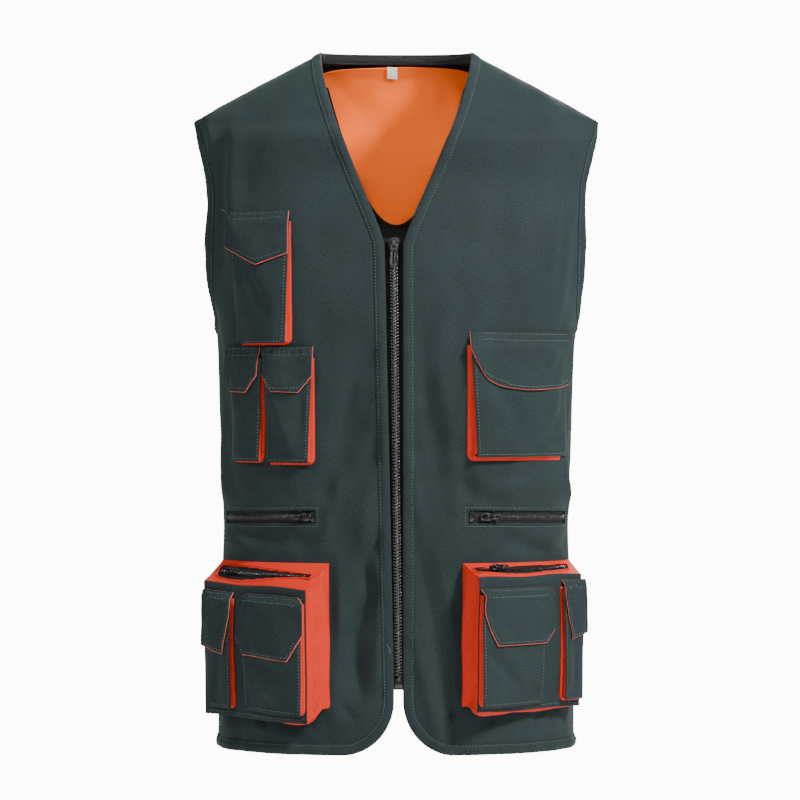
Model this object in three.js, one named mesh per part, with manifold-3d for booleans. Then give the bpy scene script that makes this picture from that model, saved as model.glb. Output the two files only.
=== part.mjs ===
// Sleeveless utility work vest, kept in the form that it has when worn: a hollow cloth shell of two
// fronts and a back, bound edges, an open-ended front zip, two zipped slits and bellows pockets.
// Millimetres, +Z up. The vest faces -Y and the wearer's right is at -X.
// The origin is midway between the neck points, where the shoulder seams meet the neckline.
import * as THREE from "three";
import { mergeVertices } from "three/addons/utils/BufferGeometryUtils.js";
import Module from "manifold-3d";

const wasm = await Module();
wasm.setup();

// Driving dimensions of the shell
const bodyLength = 692; // neck point to hem
const shoulderHalf = 200.5; // centre to shoulder tip
const frontReach = 1.147 * shoulderHalf; // along a front's cloth, from the centre line to the side
const shoulderDrop = 74; // height of the slope from neck point to shoulder tip
const neckHalf = 77; // centre to neck point
const neckPointDrop = 4; // the neck points lie this far under the origin's level
const backNeckDrop = 3; // how far the back neck edge dips under the neck points
const chestFront = 115.5; // depth from the side seams to the fullest front
const chestBack = 119; // depth from the side seams to the fullest back
const sectionPower = 2.3; // a horizontal section is a superellipse of this power
const wall = 2.2; // outer cloth and lining together
const seamGap = 0.6; // between the fronts and the back along the seams
const vDepth = 200; // neck point level to the foot of the V
const zipEndDepth = 0.9075 * bodyLength; // neck point level to the end of the zip
const openingHalfTop = 9; // half the gap between the fronts at the top of the zip
const openingHalfFoot = 4.4; // the same at its foot
const zipTopX = -2.1; // the zip leans a little, from here
const zipFootX = 2.6; // to here
const cornerWide = 50; // rounded front corner at the hem
const cornerHigh = 52;
const backHemRise = 44; // the back hem arches up at its middle
const armholeDepth = 201; // shoulder tip to armpit
const armholeFront = 46; // side seam to the front edge of the armhole
const armholeBack = 52; // side seam to the back edge of the armhole

// Cloth, bindings and clearances
const clearance = 0.6; // between one layer and the next
const seatGap = 0.35; // the least that a sewn piece keeps to what carries it
const bindingWide = 9;
const bindingThick = 0.9;
const bindingRoom = 0.9; // under the binding, which is folded round the cloth's edge
const pocketCloth = 1.3;
const pocketPillow = 1.5; // how far a patch pocket's front bulges
const gussetCloth = 1.1;
const pocketStep = 24; // a pocket's front has a column of facets about this wide
const gussetCrease = 1.6; // how far a gusset folds inwards between its seams
const gussetRun = 0.85; // share of a patch pocket's bottom that its gusset runs along
const flapRoom = 1.4; // under a flap, to the front that it lies on
const facingCloth = 1;
const facingHalf = 78; // the neck facing is a half-moon inside the back
const facingDepth = 166;
const labelWide = 10;
const labelHigh = 11;

// Front zip
const tapeWide = 13;
const tapeThick = 0.9;
const tapeInner = 1.7; // middle of the zip to the tape's woven edge
const toothPitch = 12.4; // one tooth here stands for four of the real ones
const chainHalf = 3.6;
const toothReach = 1.8; // how far a tooth passes the zip's middle
const toothRoom = 0.25; // what each row of teeth keeps back for the other
const zipRecess = 0.6; // the chain's face lies this far behind the cloth's face
const boxHigh = 9; // retainer box at the zip's foot

// Shoulder slices. Drop is a share of shoulderDrop, out a share of the way from neckHalf to
// shoulderHalf, front and back are shares of chestFront and chestBack.
const shoulderSlices = [
  { drop: 0.054, out: 0, front: 0.11, back: 0.52 },
  { drop: 0.27, out: 0.24, front: 0.31, back: 0.63 },
  { drop: 0.54, out: 0.543, front: 0.46, back: 0.72 },
  { drop: 0.84, out: 0.866, front: 0.574, back: 0.79 },
  { drop: 1, out: 1, front: 0.626, back: 0.815 },
];

// Body slices. Down is a share of the length under the shoulder tips, half a share of shoulderHalf.
const bodySlices = [
  { down: 0.034, half: 1.008, front: 0.826, back: 0.857 },
  { down: 0.091, half: 1.022, front: 0.8, back: 0.916 },
  { down: 0.172, half: 1.014, front: 0.913, back: 0.983 },
  { down: 0.252, half: 0.964, front: 0.983, back: 1 },
  { down: 0.325, half: 0.897, front: 1, back: 0.9916 },
  { down: 0.414, half: 0.882, front: 0.991, back: 0.941 },
  { down: 0.5275, half: 0.872, front: 0.948, back: 0.882 },
  { down: 0.641, half: 0.857, front: 0.922, back: 0.857 },
  { down: 0.754, half: 0.869, front: 0.917, back: 0.874 },
  { down: 1, half: 0.888, front: 0.939, back: 0.924 },
];

// Main folds of the shell. Each runs from (across0, down0) to (across1, down1): across is a share of
// frontReach from the centre, down a share of bodyLength, wide a share of foldWide, high of foldHigh.
const foldWide = 16;
const foldHigh = 4;
const foldFade = 24;
const zipFlat = 9; // no fold crosses the zip's tapes
const folds = [
  { side: 1, across0: 0.07, down0: 0.4, across1: 0.2, down1: 0.66, wide: 0.9, high: -1 },
  { side: 1, across0: 0.1, down0: 0.66, across1: 0.24, down1: 0.86, wide: 0.9, high: -0.9 },
  { side: 1, across0: 0.12, down0: 0.78, across1: 0.24, down1: 0.97, wide: 1.2, high: 0.9 },
  { side: 1, across0: 0.88, down0: 0.16, across1: 0.84, down1: 0.36, wide: 1, high: -1 },
  { side: 1, across0: 0.62, down0: 0.12, across1: 0.7, down1: 0.33, wide: 1.6, high: 0.7 },
  { side: -1, across0: 0.1, down0: 0.47, across1: 0.36, down1: 0.7, wide: 0.9, high: -0.9 },
  { side: -1, across0: 0.12, down0: 0.73, across1: 0.24, down1: 0.96, wide: 1.3, high: -1.2 },
  { side: -1, across0: 0.06, down0: 0.6, across1: 0.2, down1: 0.8, wide: 1, high: 0.8 },
  { side: -1, across0: 0.86, down0: 0.14, across1: 0.82, down1: 0.34, wide: 1, high: -1 },
  { side: -1, across0: 0.92, down0: 0.62, across1: 0.55, down1: 0.78, wide: 1.2, high: 0.8 },
  { side: 1, across0: 0.9, down0: 0.64, across1: 0.5, down1: 0.72, wide: 1.2, high: 0.8 },
];

// Patch pockets on the fronts. Side -1 is the wearer's right. Inner and outer are places across, as
// shares of frontReach, mouth and bottom are places down, as shares of bodyLength. The outer side is
// sewn flat, and the inner side stands off by swellMouth and swellBottom, shares of pocketSwell. The
// flap is sewn on at flapTop, its ends lie at flapInner and flapOuter and draw in by tuck at its seam.
const pocketSwell = 9;
const patchPockets = [
  {
    name: "chest_pocket_right", side: -1, shape: "pointed",
    inner: 0.444, outer: 0.726, mouth: 0.256, bottom: 0.429, inset: 0.444,
    swellMouth: 0.333, swellBottom: 1, flapTop: 0.241, flapHigh: 0.075,
    flapInner: 0.452, flapOuter: 0.748, tuck: 0.056,
  },
  {
    name: "pen_pocket_outer", side: -1, shape: "clipped",
    inner: 0.574, outer: 0.756, mouth: 0.447, bottom: 0.594, inset: 0.333,
    swellMouth: 0.333, swellBottom: 0.778, flapTop: 0.431, flapHigh: 0.063,
    flapInner: 0.596, flapOuter: 0.8, tuck: 0.056,
  },
  {
    name: "pen_pocket_inner", side: -1, shape: "clipped",
    inner: 0.344, outer: 0.57, mouth: 0.447, bottom: 0.597, inset: 0.556,
    swellMouth: 0.333, swellBottom: 1, flapTop: 0.431, flapHigh: 0.063,
    flapInner: 0.348, flapOuter: 0.574, tuck: 0.056,
  },
  {
    name: "chest_pocket_left", side: 1, shape: "rounded",
    inner: 0.3, outer: 0.826, mouth: 0.429, bottom: 0.591, inset: 0.889,
    swellMouth: 0.667, swellBottom: 0.889, flapTop: 0.41, flapHigh: 0.08,
    flapInner: 0.309, flapOuter: 0.874, tuck: 0.111,
  },
];

// Flap outlines. Across runs from the inner end to the outer end, drop is a share of the flap's height.
const flapShapes = {
  pointed: [
    { across: 0, drop: 0.8 },
    { across: 0.24, drop: 0.9 },
    { across: 0.46, drop: 1 },
    { across: 0.74, drop: 0.82 },
    { across: 1, drop: 0.65 },
  ],
  clipped: [
    { across: 0, drop: 0.64 },
    { across: 0.26, drop: 1 },
    { across: 0.78, drop: 0.98 },
    { across: 1, drop: 0.62 },
  ],
  rounded: [
    { across: 0, drop: 0.3 },
    { across: 0.05, drop: 0.55 },
    { across: 0.13, drop: 0.82 },
    { across: 0.26, drop: 0.95 },
    { across: 0.45, drop: 1 },
    { across: 0.7, drop: 0.98 },
    { across: 0.93, drop: 0.9 },
    { across: 1, drop: 0.74 },
  ],
  flared: [
    { across: 0, drop: 0.58 },
    { across: 0.21, drop: 1.02 },
    { across: 0.89, drop: 0.98 },
    { across: 1, drop: 0.72 },
  ],
  squared: [
    { across: 0, drop: 0.4 },
    { across: 0.08, drop: 0.76 },
    { across: 0.15, drop: 1 },
    { across: 0.87, drop: 1 },
    { across: 1, drop: 0.76 },
  ],
  slanted: [
    { across: 0, drop: 0.4 },
    { across: 0.22, drop: 1 },
    { across: 1, drop: 0.9 },
  ],
};

// Cargo pockets
const cargoInner = 0.2826 * frontReach; // seam on the front, along the cloth from the centre line
const cargoOuter = 0.9 * frontReach;
const cargoTop = 0.7341 * bodyLength; // depth of the upper seam
const cargoBottom = 0.9321 * bodyLength;
const cargoDepthTop = 36; // how far the face stands off the front
const cargoDepthBottom = 33;
const cargoInset = 4;
const cargoFaceHigh = 0.1879 * bodyLength;
const cargoPillow = 3.5;
const cargoZipWide = 13;
const cargoZip = { from: 0.12, to: 0.84 }; // shares of the top panel, from inner to outer end
// A face hangs below its seam by sag, less by tilt at its outer end, and lies shift further out, all
// as shares of cargoFaceHigh
const cargoSides = [
  { side: -1, name: "cargo_right", sag: 0.1846, tilt: 0.0308, shift: -0.0154 },
  { side: 1, name: "cargo_left", sag: 0.0923, tilt: 0, shift: -0.0808 },
];

// Small pockets on each cargo face, in the same terms, but as shares of the face, from its inner end
// and its top
const facePockets = [
  {
    name: "wide", side: -1, shape: "flared",
    inner: 0.006, outer: 0.584, mouth: 0.108, bottom: 0.939, inset: 0.089,
    swellMouth: 0.556, swellBottom: 0.778, flapTop: 0.061, flapHigh: 0.462,
    flapInner: -0.018, flapOuter: 0.635, tuck: 1.111,
  },
  {
    name: "narrow", side: -1, shape: "slanted",
    inner: 0.683, outer: 0.969, mouth: 0.108, bottom: 0.939, inset: 0.111,
    swellMouth: 0.444, swellBottom: 0.778, flapTop: 0.061, flapHigh: 0.462,
    flapInner: 0.691, flapOuter: 1.001, tuck: 0.056,
  },
  {
    name: "wide", side: 1, shape: "squared",
    inner: 0.002, outer: 0.612, mouth: 0.131, bottom: 0.962, inset: 0.067,
    swellMouth: 0.556, swellBottom: 0.778, flapTop: 0.085, flapHigh: 0.415,
    flapInner: 0.012, flapOuter: 0.699, tuck: 0,
  },
  {
    name: "narrow", side: 1, shape: "slanted",
    inner: 0.778, outer: 1.017, mouth: 0.092, bottom: 0.954, inset: 0.278,
    swellMouth: 0.444, swellBottom: 0.778, flapTop: 0.038, flapHigh: 0.446,
    flapInner: 0.802, flapOuter: 1.033, tuck: 0,
  },
];

// Zipped slits in the fronts
const slitInner = 0.3391 * frontReach;
const slitOuter = 0.8522 * frontReach;
const slitDepth = 0.6712 * bodyLength; // depth of the slit's middle line under the origin
const slitSlope = 2.5; // its inner end lies this far above its outer end
const slitHigh = 14;
const slitChainHalf = 2.4;
const slitChainThick = 1.6;

// Sliders and pulls
const mainSlider = {
  length: 14, wideTop: 9.5, wideFoot: 7.5, plate: 1.1, neck: 2.2, crownLong: 6.8, crownHigh: 4.2,
  crownWide: 2.4, crownBar: 1.3, pullLong: 22, pullTop: 6.4, pullFoot: 8.6, pullThick: 1.5,
};
const pocketSlider = {
  length: 11, wideTop: 7.4, wideFoot: 6.2, plate: 0.9, neck: 0, crownLong: 5.6, crownHigh: 3.5,
  crownWide: 1.8, crownBar: 1, pullLong: 14, pullTop: 5, pullFoot: 6.2, pullThick: 1.2,
};
const runningGap = 0.35; // between a pull and its crown, and a slider and its chain
const shieldShoulder = 3; // the slider's plate narrows this far from its upper end
const shieldChamfer = 2;
const pullEye = 0.5; // room for the crown to pass through the pull's eye
const pullRim = 2; // metal left round the pull's slot
const slotHalf = 0.9;
const weld = 0.2; // parts of one casting run into each other by this

const colours = {
  cloth: { color: 0x2a3c3a, roughness: 0.85, metalness: 0 },
  contrast: { color: 0xe8431c, roughness: 0.8, metalness: 0 },
  lining: { color: 0xe9781f, roughness: 0.8, metalness: 0 },
  tape: { color: 0x141416, roughness: 0.85, metalness: 0 },
  tooth: { color: 0x232326, roughness: 0.35, metalness: 0 },
  metal: { color: 0x3a3b3d, roughness: 0.35, metalness: 0.8 },
  label: { color: 0xf1f1ee, roughness: 0.7, metalness: 0 },
};
const materials = Object.fromEntries(
  Object.entries(colours).map(([name, look]) => [name, new THREE.MeshStandardMaterial(look)]),
);

const vest = new THREE.Group();
const lerp = THREE.MathUtils.lerp;
const smooth = (x, low, high) => THREE.MathUtils.smoothstep(x, low, high);

// Closed geometry from vertices and triangles, turned to face outwards
function closedGeometry(vertices, triangles) {
  const volume = triangles.reduce(
    (sum, [a, b, c]) => sum + vertices[a].dot(vertices[b].clone().cross(vertices[c])),
    0,
  );
  const turned = volume < 0 ? triangles.map(([a, b, c]) => [a, c, b]) : triangles;
  const geometry = new THREE.BufferGeometry();
  const flat = vertices.flatMap((v) => [v.x, v.y, v.z]);
  geometry.setAttribute("position", new THREE.Float32BufferAttribute(flat, 3));
  geometry.setIndex(turned.flat());
  return geometry;
}

// A layer between two grids of points, outer(i, j) and inner(i, j), with its rim closed. With
// ring = true the last column joins the first.
function layer(columns, rows, outer, inner, ring = false) {
  const across = ring ? columns : columns + 1;
  const vertices = [];
  for (const face of [outer, inner])
    for (let i = 0; i < across; i++) for (let j = 0; j <= rows; j++) vertices.push(face(i, j));
  const half = across * (rows + 1);
  const at = (i, j, under) => (i % across) * (rows + 1) + j + (under ? half : 0);
  const triangles = [];
  const quad = (a, b, c, d) => triangles.push([a, b, c], [a, c, d]);
  for (let i = 0; i < columns; i++) {
    for (let j = 0; j < rows; j++) {
      quad(at(i, j), at(i + 1, j), at(i + 1, j + 1), at(i, j + 1));
      quad(at(i, j, 1), at(i, j + 1, 1), at(i + 1, j + 1, 1), at(i + 1, j, 1));
    }
    quad(at(i, 0), at(i, 0, 1), at(i + 1, 0, 1), at(i + 1, 0));
    quad(at(i, rows), at(i + 1, rows), at(i + 1, rows, 1), at(i, rows, 1));
  }
  if (!ring)
    for (let j = 0; j < rows; j++) {
      quad(at(0, j), at(0, j + 1), at(0, j + 1, 1), at(0, j, 1));
      quad(at(columns, j), at(columns, j, 1), at(columns, j + 1, 1), at(columns, j + 1));
    }
  return closedGeometry(vertices, triangles);
}

function toSolid(geometry) {
  const bare = geometry.clone();
  bare.deleteAttribute("normal");
  bare.deleteAttribute("uv");
  const merged = mergeVertices(bare, 1e-4);
  return new wasm.Manifold(
    new wasm.Mesh({
      numProp: 3,
      vertProperties: merged.attributes.position.array,
      triVerts: new Uint32Array(merged.index.array),
    }),
  );
}

function toGeometry(solid) {
  const mesh = solid.getMesh();
  const geometry = new THREE.BufferGeometry();
  geometry.setAttribute("position", new THREE.Float32BufferAttribute(mesh.vertProperties, 3));
  geometry.setIndex([...mesh.triVerts]);
  return geometry;
}

// What is left after cutting, without any crumbs that the cut leaves along an edge
function cutAway(geometry, ...cutters) {
  const left = cutters.reduce((solid, cutter) => solid.subtract(toSolid(cutter)), toSolid(geometry));
  const bodies = left.decompose();
  return toGeometry(bodies.reduce((best, body) => (body.volume() > best.volume() ? body : best)));
}
const fuse = (...geometries) =>
  toGeometry(geometries.slice(1).reduce((s, g) => s.add(toSolid(g)), toSolid(geometries[0])));

function addPiece(name, geometry, material) {
  const mesh = new THREE.Mesh(geometry, materials[material]);
  mesh.name = name;
  vest.add(mesh);
  return mesh;
}

// Monotone cubic through a table's values, so that a slice never overshoots its neighbours
function curveThrough(xs, ys) {
  const steps = xs.slice(1).map((x, i) => x - xs[i]);
  const slopes = steps.map((h, i) => (ys[i + 1] - ys[i]) / h);
  const tangents = xs.map((_, i) => {
    if (i === 0) return slopes[0];
    if (i === xs.length - 1) return slopes[i - 1];
    if (slopes[i - 1] * slopes[i] <= 0) return 0;
    const before = 2 * steps[i] + steps[i - 1];
    const after = steps[i] + 2 * steps[i - 1];
    return (before + after) / (before / slopes[i - 1] + after / slopes[i]);
  });
  return (x) => {
    const inside = Math.min(Math.max(x, xs[0]), xs[xs.length - 1]);
    let i = xs.findIndex((value) => value > inside) - 1;
    if (i < 0) i = xs.length - 2;
    const h = steps[i];
    const t = (inside - xs[i]) / h;
    return (
      (1 + 2 * t) * (1 - t) ** 2 * ys[i] +
      t * (1 - t) ** 2 * h * tangents[i] +
      t * t * (3 - 2 * t) * ys[i + 1] +
      t * t * (t - 1) * h * tangents[i + 1]
    );
  };
}

const slices = [
  ...shoulderSlices.map((row, i) => ({
    down: i === 0 ? neckPointDrop : row.drop * shoulderDrop,
    half: lerp(neckHalf, shoulderHalf, row.out),
    front: row.front * chestFront,
    back: row.back * chestBack,
  })),
  ...bodySlices.map((row) => ({
    down: lerp(shoulderDrop, bodyLength, row.down),
    half: row.half * shoulderHalf,
    front: row.front * chestFront,
    back: row.back * chestBack,
  })),
];
const sliceCurve = (column) => curveThrough(slices.map((row) => row.down), slices.map((row) => row[column]));
const halfAt = sliceCurve("half");
const frontAt = sliceCurve("front");
const backAt = sliceCurve("back");

// The cloth lies flat where a pocket or a zip is sewn to it: 0 there, 1 beyond foldFade of it
const flatAreas = [
  { side: 0, inner: 0, outer: zipFlat, top: vDepth, foot: bodyLength },
  { side: 0, inner: cargoInner, outer: cargoOuter, top: cargoTop, foot: cargoBottom },
  {
    side: 0, inner: slitInner, outer: slitOuter, top: slitDepth - slitHigh / 2, foot: slitDepth + slitHigh / 2,
  },
  ...patchPockets.map(({ side, inner, flapOuter, flapTop, bottom }) => {
    const across = [inner * frontReach, flapOuter * frontReach];
    return { side, inner: across[0], outer: across[1], top: flapTop * bodyLength, foot: bottom * bodyLength };
  }),
];
function foldRoom(across, down) {
  return flatAreas.reduce((room, area) => {
    if (area.side * across < 0) return room;
    const reach = Math.abs(across);
    const sideways = Math.max(area.inner - reach, reach - area.outer, 0);
    const upright = Math.max(area.top - down, down - area.foot, 0);
    return Math.min(room, smooth(Math.hypot(sideways, upright), 0, foldFade));
  }, 1);
}

function foldAt(across, down) {
  let height = 0;
  for (const fold of folds) {
    if (Math.sign(across) !== fold.side) continue;
    const start = new THREE.Vector2(fold.across0 * frontReach, fold.down0 * bodyLength);
    const run = new THREE.Vector2(fold.across1 * frontReach, fold.down1 * bodyLength).sub(start);
    const here = new THREE.Vector2(Math.abs(across), down).sub(start);
    const along = THREE.MathUtils.clamp(here.dot(run) / run.lengthSq(), 0, 1);
    const away = here.distanceTo(run.clone().multiplyScalar(along)) / (fold.wide * foldWide);
    height += fold.high * foldHigh * Math.sin(Math.PI * lerp(0.12, 0.88, along)) * Math.exp(-away * away);
  }
  return height * foldRoom(across, down);
}

// One half of the shell's surface, front (facing -1) or back (facing 1). A place on it is given by
// across, the distance along the cloth from the centre line, and down, the depth under the origin.
function shellSurface(facing) {
  const depthAt = facing < 0 ? frontAt : backAt;
  const arcSteps = 90;
  const power = 2 / sectionPower;
  const kept = new Map();
  const sliceAt = (down) => {
    const key = down.toFixed(4);
    if (!kept.has(key)) {
      const half = halfAt(down);
      const depth = depthAt(down);
      const lengths = [0];
      let last = [0, depth];
      for (let k = 1; k <= arcSteps; k++) {
        const turn = (k / arcSteps) * (Math.PI / 2);
        const next = [half * Math.sin(turn) ** power, depth * Math.max(Math.cos(turn), 0) ** power];
        lengths.push(lengths[k - 1] + Math.hypot(next[0] - last[0], next[1] - last[1]));
        last = next;
      }
      kept.set(key, { half, depth, lengths });
    }
    return kept.get(key);
  };
  const girthAt = (down) => sliceAt(down).lengths[arcSteps]; // centre line to side seam
  const turnAt = (slice, reach) => {
    const length = Math.min(reach, slice.lengths[arcSteps]);
    let k = slice.lengths.findIndex((value) => value >= length);
    k = Math.max(k, 1);
    const share = (length - slice.lengths[k - 1]) / (slice.lengths[k] - slice.lengths[k - 1]);
    return ((k - 1 + share) / arcSteps) * (Math.PI / 2);
  };
  const point = (across, down, off) => {
    const slice = sliceAt(down);
    const turn = turnAt(slice, Math.abs(across));
    const x = slice.half * Math.sin(turn) ** power;
    const y = slice.depth * Math.max(Math.cos(turn), 0) ** power;
    const step = 0.5;
    const halfSlope = (halfAt(down + step) - halfAt(down - step)) / (2 * step);
    const depthSlope = (depthAt(down + step) - depthAt(down - step)) / (2 * step);
    const xShare = (x / slice.half) ** sectionPower;
    const yShare = (y / slice.depth) ** sectionPower;
    const normal = new THREE.Vector3(
      (Math.sign(across) * xShare) / Math.max(x, 1e-6),
      (facing * yShare) / Math.max(y, 1e-6),
      (xShare * halfSlope) / slice.half + (yShare * depthSlope) / slice.depth,
    ).normalize();
    const seamFade = smooth(girthAt(down) - Math.abs(across), 0, 30);
    const lift = off + (facing < 0 ? foldAt(across, down) * seamFade : 0);
    return new THREE.Vector3(Math.sign(across) * x, facing * (y + seamGap / 2), -down).addScaledVector(
      normal,
      lift,
    );
  };
  // Distance along the cloth to the point whose x, or whose depth y, is given
  const acrossOfX = (x, down) => {
    const slice = sliceAt(down);
    const turn = Math.asin(Math.min(Math.abs(x) / slice.half, 1) ** (1 / power));
    return Math.sign(x) * lengthOf(slice, turn);
  };
  const acrossOfY = (y, down) => {
    const slice = sliceAt(down);
    return lengthOf(slice, Math.acos(Math.min(y / slice.depth, 1) ** (1 / power)));
  };
  const lengthOf = (slice, turn) => {
    const place = (turn / (Math.PI / 2)) * arcSteps;
    const k = Math.min(Math.floor(place), arcSteps - 1);
    return lerp(slice.lengths[k], slice.lengths[k + 1], place - k);
  };
  return { point, girthAt, acrossOfX, acrossOfY };
}
const front = shellSurface(-1);
const back = shellSurface(1);
const place = (across, down) => ({ across, down });

// The zip's middle line and the fronts' edges
const zipShare = (down) => (down - vDepth) / (zipEndDepth - vDepth);
const zipX = (down) => lerp(zipTopX, zipFootX, THREE.MathUtils.clamp(zipShare(down), 0, 1));
const openingHalf = (down) =>
  lerp(openingHalfTop, openingHalfFoot, THREE.MathUtils.clamp(zipShare(down), 0, 1));

function frontEdge(side, down) {
  const inner = side * zipX(down) + openingHalf(down) + bindingRoom + bindingThick;
  let x = inner;
  if (down < vDepth) {
    const share = (down - neckPointDrop) / (vDepth - neckPointDrop);
    x = lerp(inner, neckHalf, (1 - share ** 1.5) ** 1.2);
  }
  const cornerTop = bodyLength - cornerHigh;
  if (down > cornerTop) {
    const sink = Math.min((down - cornerTop) / cornerHigh, 1);
    x = inner + cornerWide * (1 - Math.sqrt(1 - sink * sink));
  }
  return place(Math.abs(front.acrossOfX(x, down)), down);
}

// Armhole edge, from the armpit (turn 0) to the shoulder tip (turn PI). Grown moves it into the cloth.
const seamSlope = Math.atan2(shoulderDrop - neckPointDrop, shoulderHalf - neckHalf);
function armholeEdge(surface, reach, turn, grown = 0) {
  const low = shoulderDrop + armholeDepth + grown;
  const high = shoulderDrop - grown * Math.sin(seamSlope);
  const down = lerp(low, high, (1 - Math.cos(turn)) / 2);
  return place(surface.acrossOfY((reach + grown) * Math.sin(turn), down), down);
}

// A point on the shoulder seam, by its share of the way from the neck point to the shoulder tip
function shoulderSeam(surface, share) {
  const down = lerp(neckPointDrop, shoulderDrop, share);
  return place(surface.girthAt(down), down);
}
const bindingShare = bindingWide / Math.hypot(shoulderHalf - neckHalf, shoulderDrop - neckPointDrop);

// Coons patch in (across, down): a grid of places from its four edges
function patchGrid(bottom, top, left, right, shares) {
  const rows = left.length - 1;
  const mix = (key, i, j) => {
    const u = shares[i];
    const v = j / rows;
    const corners =
      (1 - u) * (1 - v) * left[0][key] + u * (1 - v) * right[0][key] +
      (1 - u) * v * left[rows][key] + u * v * right[rows][key];
    return (
      (1 - v) * bottom[i][key] + v * top[i][key] + (1 - u) * left[j][key] + u * right[j][key] - corners
    );
  };
  return (i, j) => place(mix("across", i, j), mix("down", i, j));
}

const lowerRows = 9;
const upperRows = 7;
// Shares of a front's width where its columns lie, closer together where it folds beside the zip
const columnShares = [0, 0.06, 0.12, 0.18, 0.25, 0.34, 0.47, 0.6, 0.74, 0.87, 1];
const panelColumns = columnShares.length - 1;
const armpitDown = shoulderDrop + armholeDepth;
const steps = (count, make) => Array.from({ length: count + 1 }, (_, k) => make(k / count, k));

// Side seam up to the armpit, then the armhole up to the shoulder tip
function outerEdge(surface, reach, hemDown) {
  const side = steps(lowerRows, (t) => {
    const down = lerp(hemDown, armpitDown, t);
    return place(surface.girthAt(down), down);
  });
  return [...side, ...steps(upperRows, (t) => armholeEdge(surface, reach, t * Math.PI)).slice(1)];
}

// The inner edge runs from the middle of the rounded corner up to the neck point
const cornerTurn = Math.PI / 4;
const cornerMid = bodyLength - cornerHigh * (1 - Math.sin(cornerTurn));
function innerEdge(side) {
  const armpitLevel = armpitDown - bindingWide;
  const lower = steps(lowerRows, (t) => frontEdge(side, lerp(cornerMid, armpitLevel, t ** 1.25)));
  const eased = (t) => 1 - (1 - t) ** 1.25;
  const upper = steps(upperRows, (t) => frontEdge(side, lerp(armpitLevel, neckPointDrop, eased(t))));
  return [...lower, ...upper.slice(1)];
}
function frontHem(side) {
  const cornerColumns = 3;
  const last = frontEdge(side, bodyLength);
  const end = front.girthAt(bodyLength);
  return columnShares.map((share, k) => {
    if (k > cornerColumns) {
      const along = (share - columnShares[cornerColumns]) / (1 - columnShares[cornerColumns]);
      return place(lerp(last.across, end, along), bodyLength);
    }
    const turn = lerp(cornerTurn, Math.PI / 2, k / cornerColumns);
    return frontEdge(side, bodyLength - cornerHigh * (1 - Math.sin(turn)));
  });
}

// A panel is a grid of points that any offset from the surface can be asked of
const panelOn = (surface, side, columns, grid) => ({
  columns,
  rows: lowerRows + upperRows,
  point: (i, j, off) => {
    const at = grid(i, j);
    return surface.point(side * at.across, at.down, off);
  },
});
const panelLayer = (panel, off0, off1) =>
  layer(panel.columns, panel.rows, (i, j) => panel.point(i, j, off0), (i, j) => panel.point(i, j, off1));

const frontPanel = {};
for (const side of [-1, 1]) {
  const grid = patchGrid(
    frontHem(side),
    columnShares.map((share) => shoulderSeam(front, share)),
    innerEdge(side),
    outerEdge(front, armholeFront, bodyLength),
    columnShares,
  );
  frontPanel[side] = panelOn(front, side, panelColumns, grid);
}

// The back's grid runs from one side to the other, with across negative on the wearer's right
const backColumns = 20;
const seamColumns = 5; // columns on each shoulder seam, the rest lie on the neckline
const backNeck = (share) => {
  const down = neckPointDrop + backNeckDrop * (1 - share * share);
  return place(share * back.girthAt(down), down);
};
const backHemDown = (share) => bodyLength - backHemRise * Math.cos((share * Math.PI) / 2) ** 2;
const mirrored = (at, side) => place(side * at.across, at.down);
function backTop(k) {
  const side = k < backColumns / 2 ? -1 : 1;
  const fromTip = Math.min(k, backColumns - k);
  if (fromTip <= seamColumns) return mirrored(shoulderSeam(back, 1 - fromTip / seamColumns), side);
  const neckColumns = backColumns / 2 - seamColumns;
  return backNeck((side * (backColumns / 2 - fromTip)) / neckColumns);
}
const backHem = (t) => {
  const share = 2 * t - 1;
  const down = backHemDown(share);
  return place(share * back.girthAt(down), down);
};
const backPanel = panelOn(
  back,
  1,
  backColumns,
  patchGrid(
    steps(backColumns, backHem),
    steps(backColumns, (_, k) => backTop(k)),
    outerEdge(back, armholeBack, bodyLength).map((at) => mirrored(at, -1)),
    outerEdge(back, armholeBack, bodyLength),
    steps(backColumns, (t) => t),
  ),
);

// What a sewn-on piece is cut back by, so that it keeps seatGap to the shell
const shellCutter = {
  "-1": panelLayer(frontPanel[-1], seatGap, -wall - seatGap),
  1: panelLayer(frontPanel[1], seatGap, -wall - seatGap),
  back: panelLayer(backPanel, seatGap, -wall - seatGap),
};

// Zipped slit: a window through the front, with the zip set in it
const slitLine = (share) => place(lerp(slitInner, slitOuter, share), slitDepth + slitSlope * (share - 0.5));
function slitBlock(side, grown, off0, off1, high = slitHigh) {
  const long = slitOuter - slitInner;
  const columns = 5;
  return layer(
    columns,
    1,
    ...[off0, off1].map((off) => (i, j) => {
      const share = lerp(-grown / long, 1 + grown / long, i / columns);
      const at = slitLine(share);
      return front.point(side * at.across, at.down + (j - 0.5) * (high + 2 * grown), off);
    }),
  );
}

// Frame on the shell: x across, y back along the way that the pull points away from, z out of the cloth
function frameOn(point, along, out) {
  const z = out.clone().normalize();
  const x = along.clone().cross(z).normalize();
  const y = z.clone().cross(x);
  return new THREE.Matrix4().makeBasis(x, y, z).setPosition(point);
}

const block = (x0, x1, y0, y1, z0, z1) =>
  new THREE.BoxGeometry(x1 - x0, y1 - y0, z1 - z0).translate((x0 + x1) / 2, (y0 + y1) / 2, (z0 + z1) / 2);

// Flat plate of a polygon outline, from z0 to z1, with holes
function plate(outline, z0, z1, holes = []) {
  const shape = new THREE.Shape(outline.map(([x, y]) => new THREE.Vector2(x, y)));
  for (const hole of holes) shape.holes.push(new THREE.Path(hole.map(([x, y]) => new THREE.Vector2(x, y))));
  return new THREE.ExtrudeGeometry(shape, { depth: z1 - z0, bevelEnabled: false }).translate(0, 0, z0);
}

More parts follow.
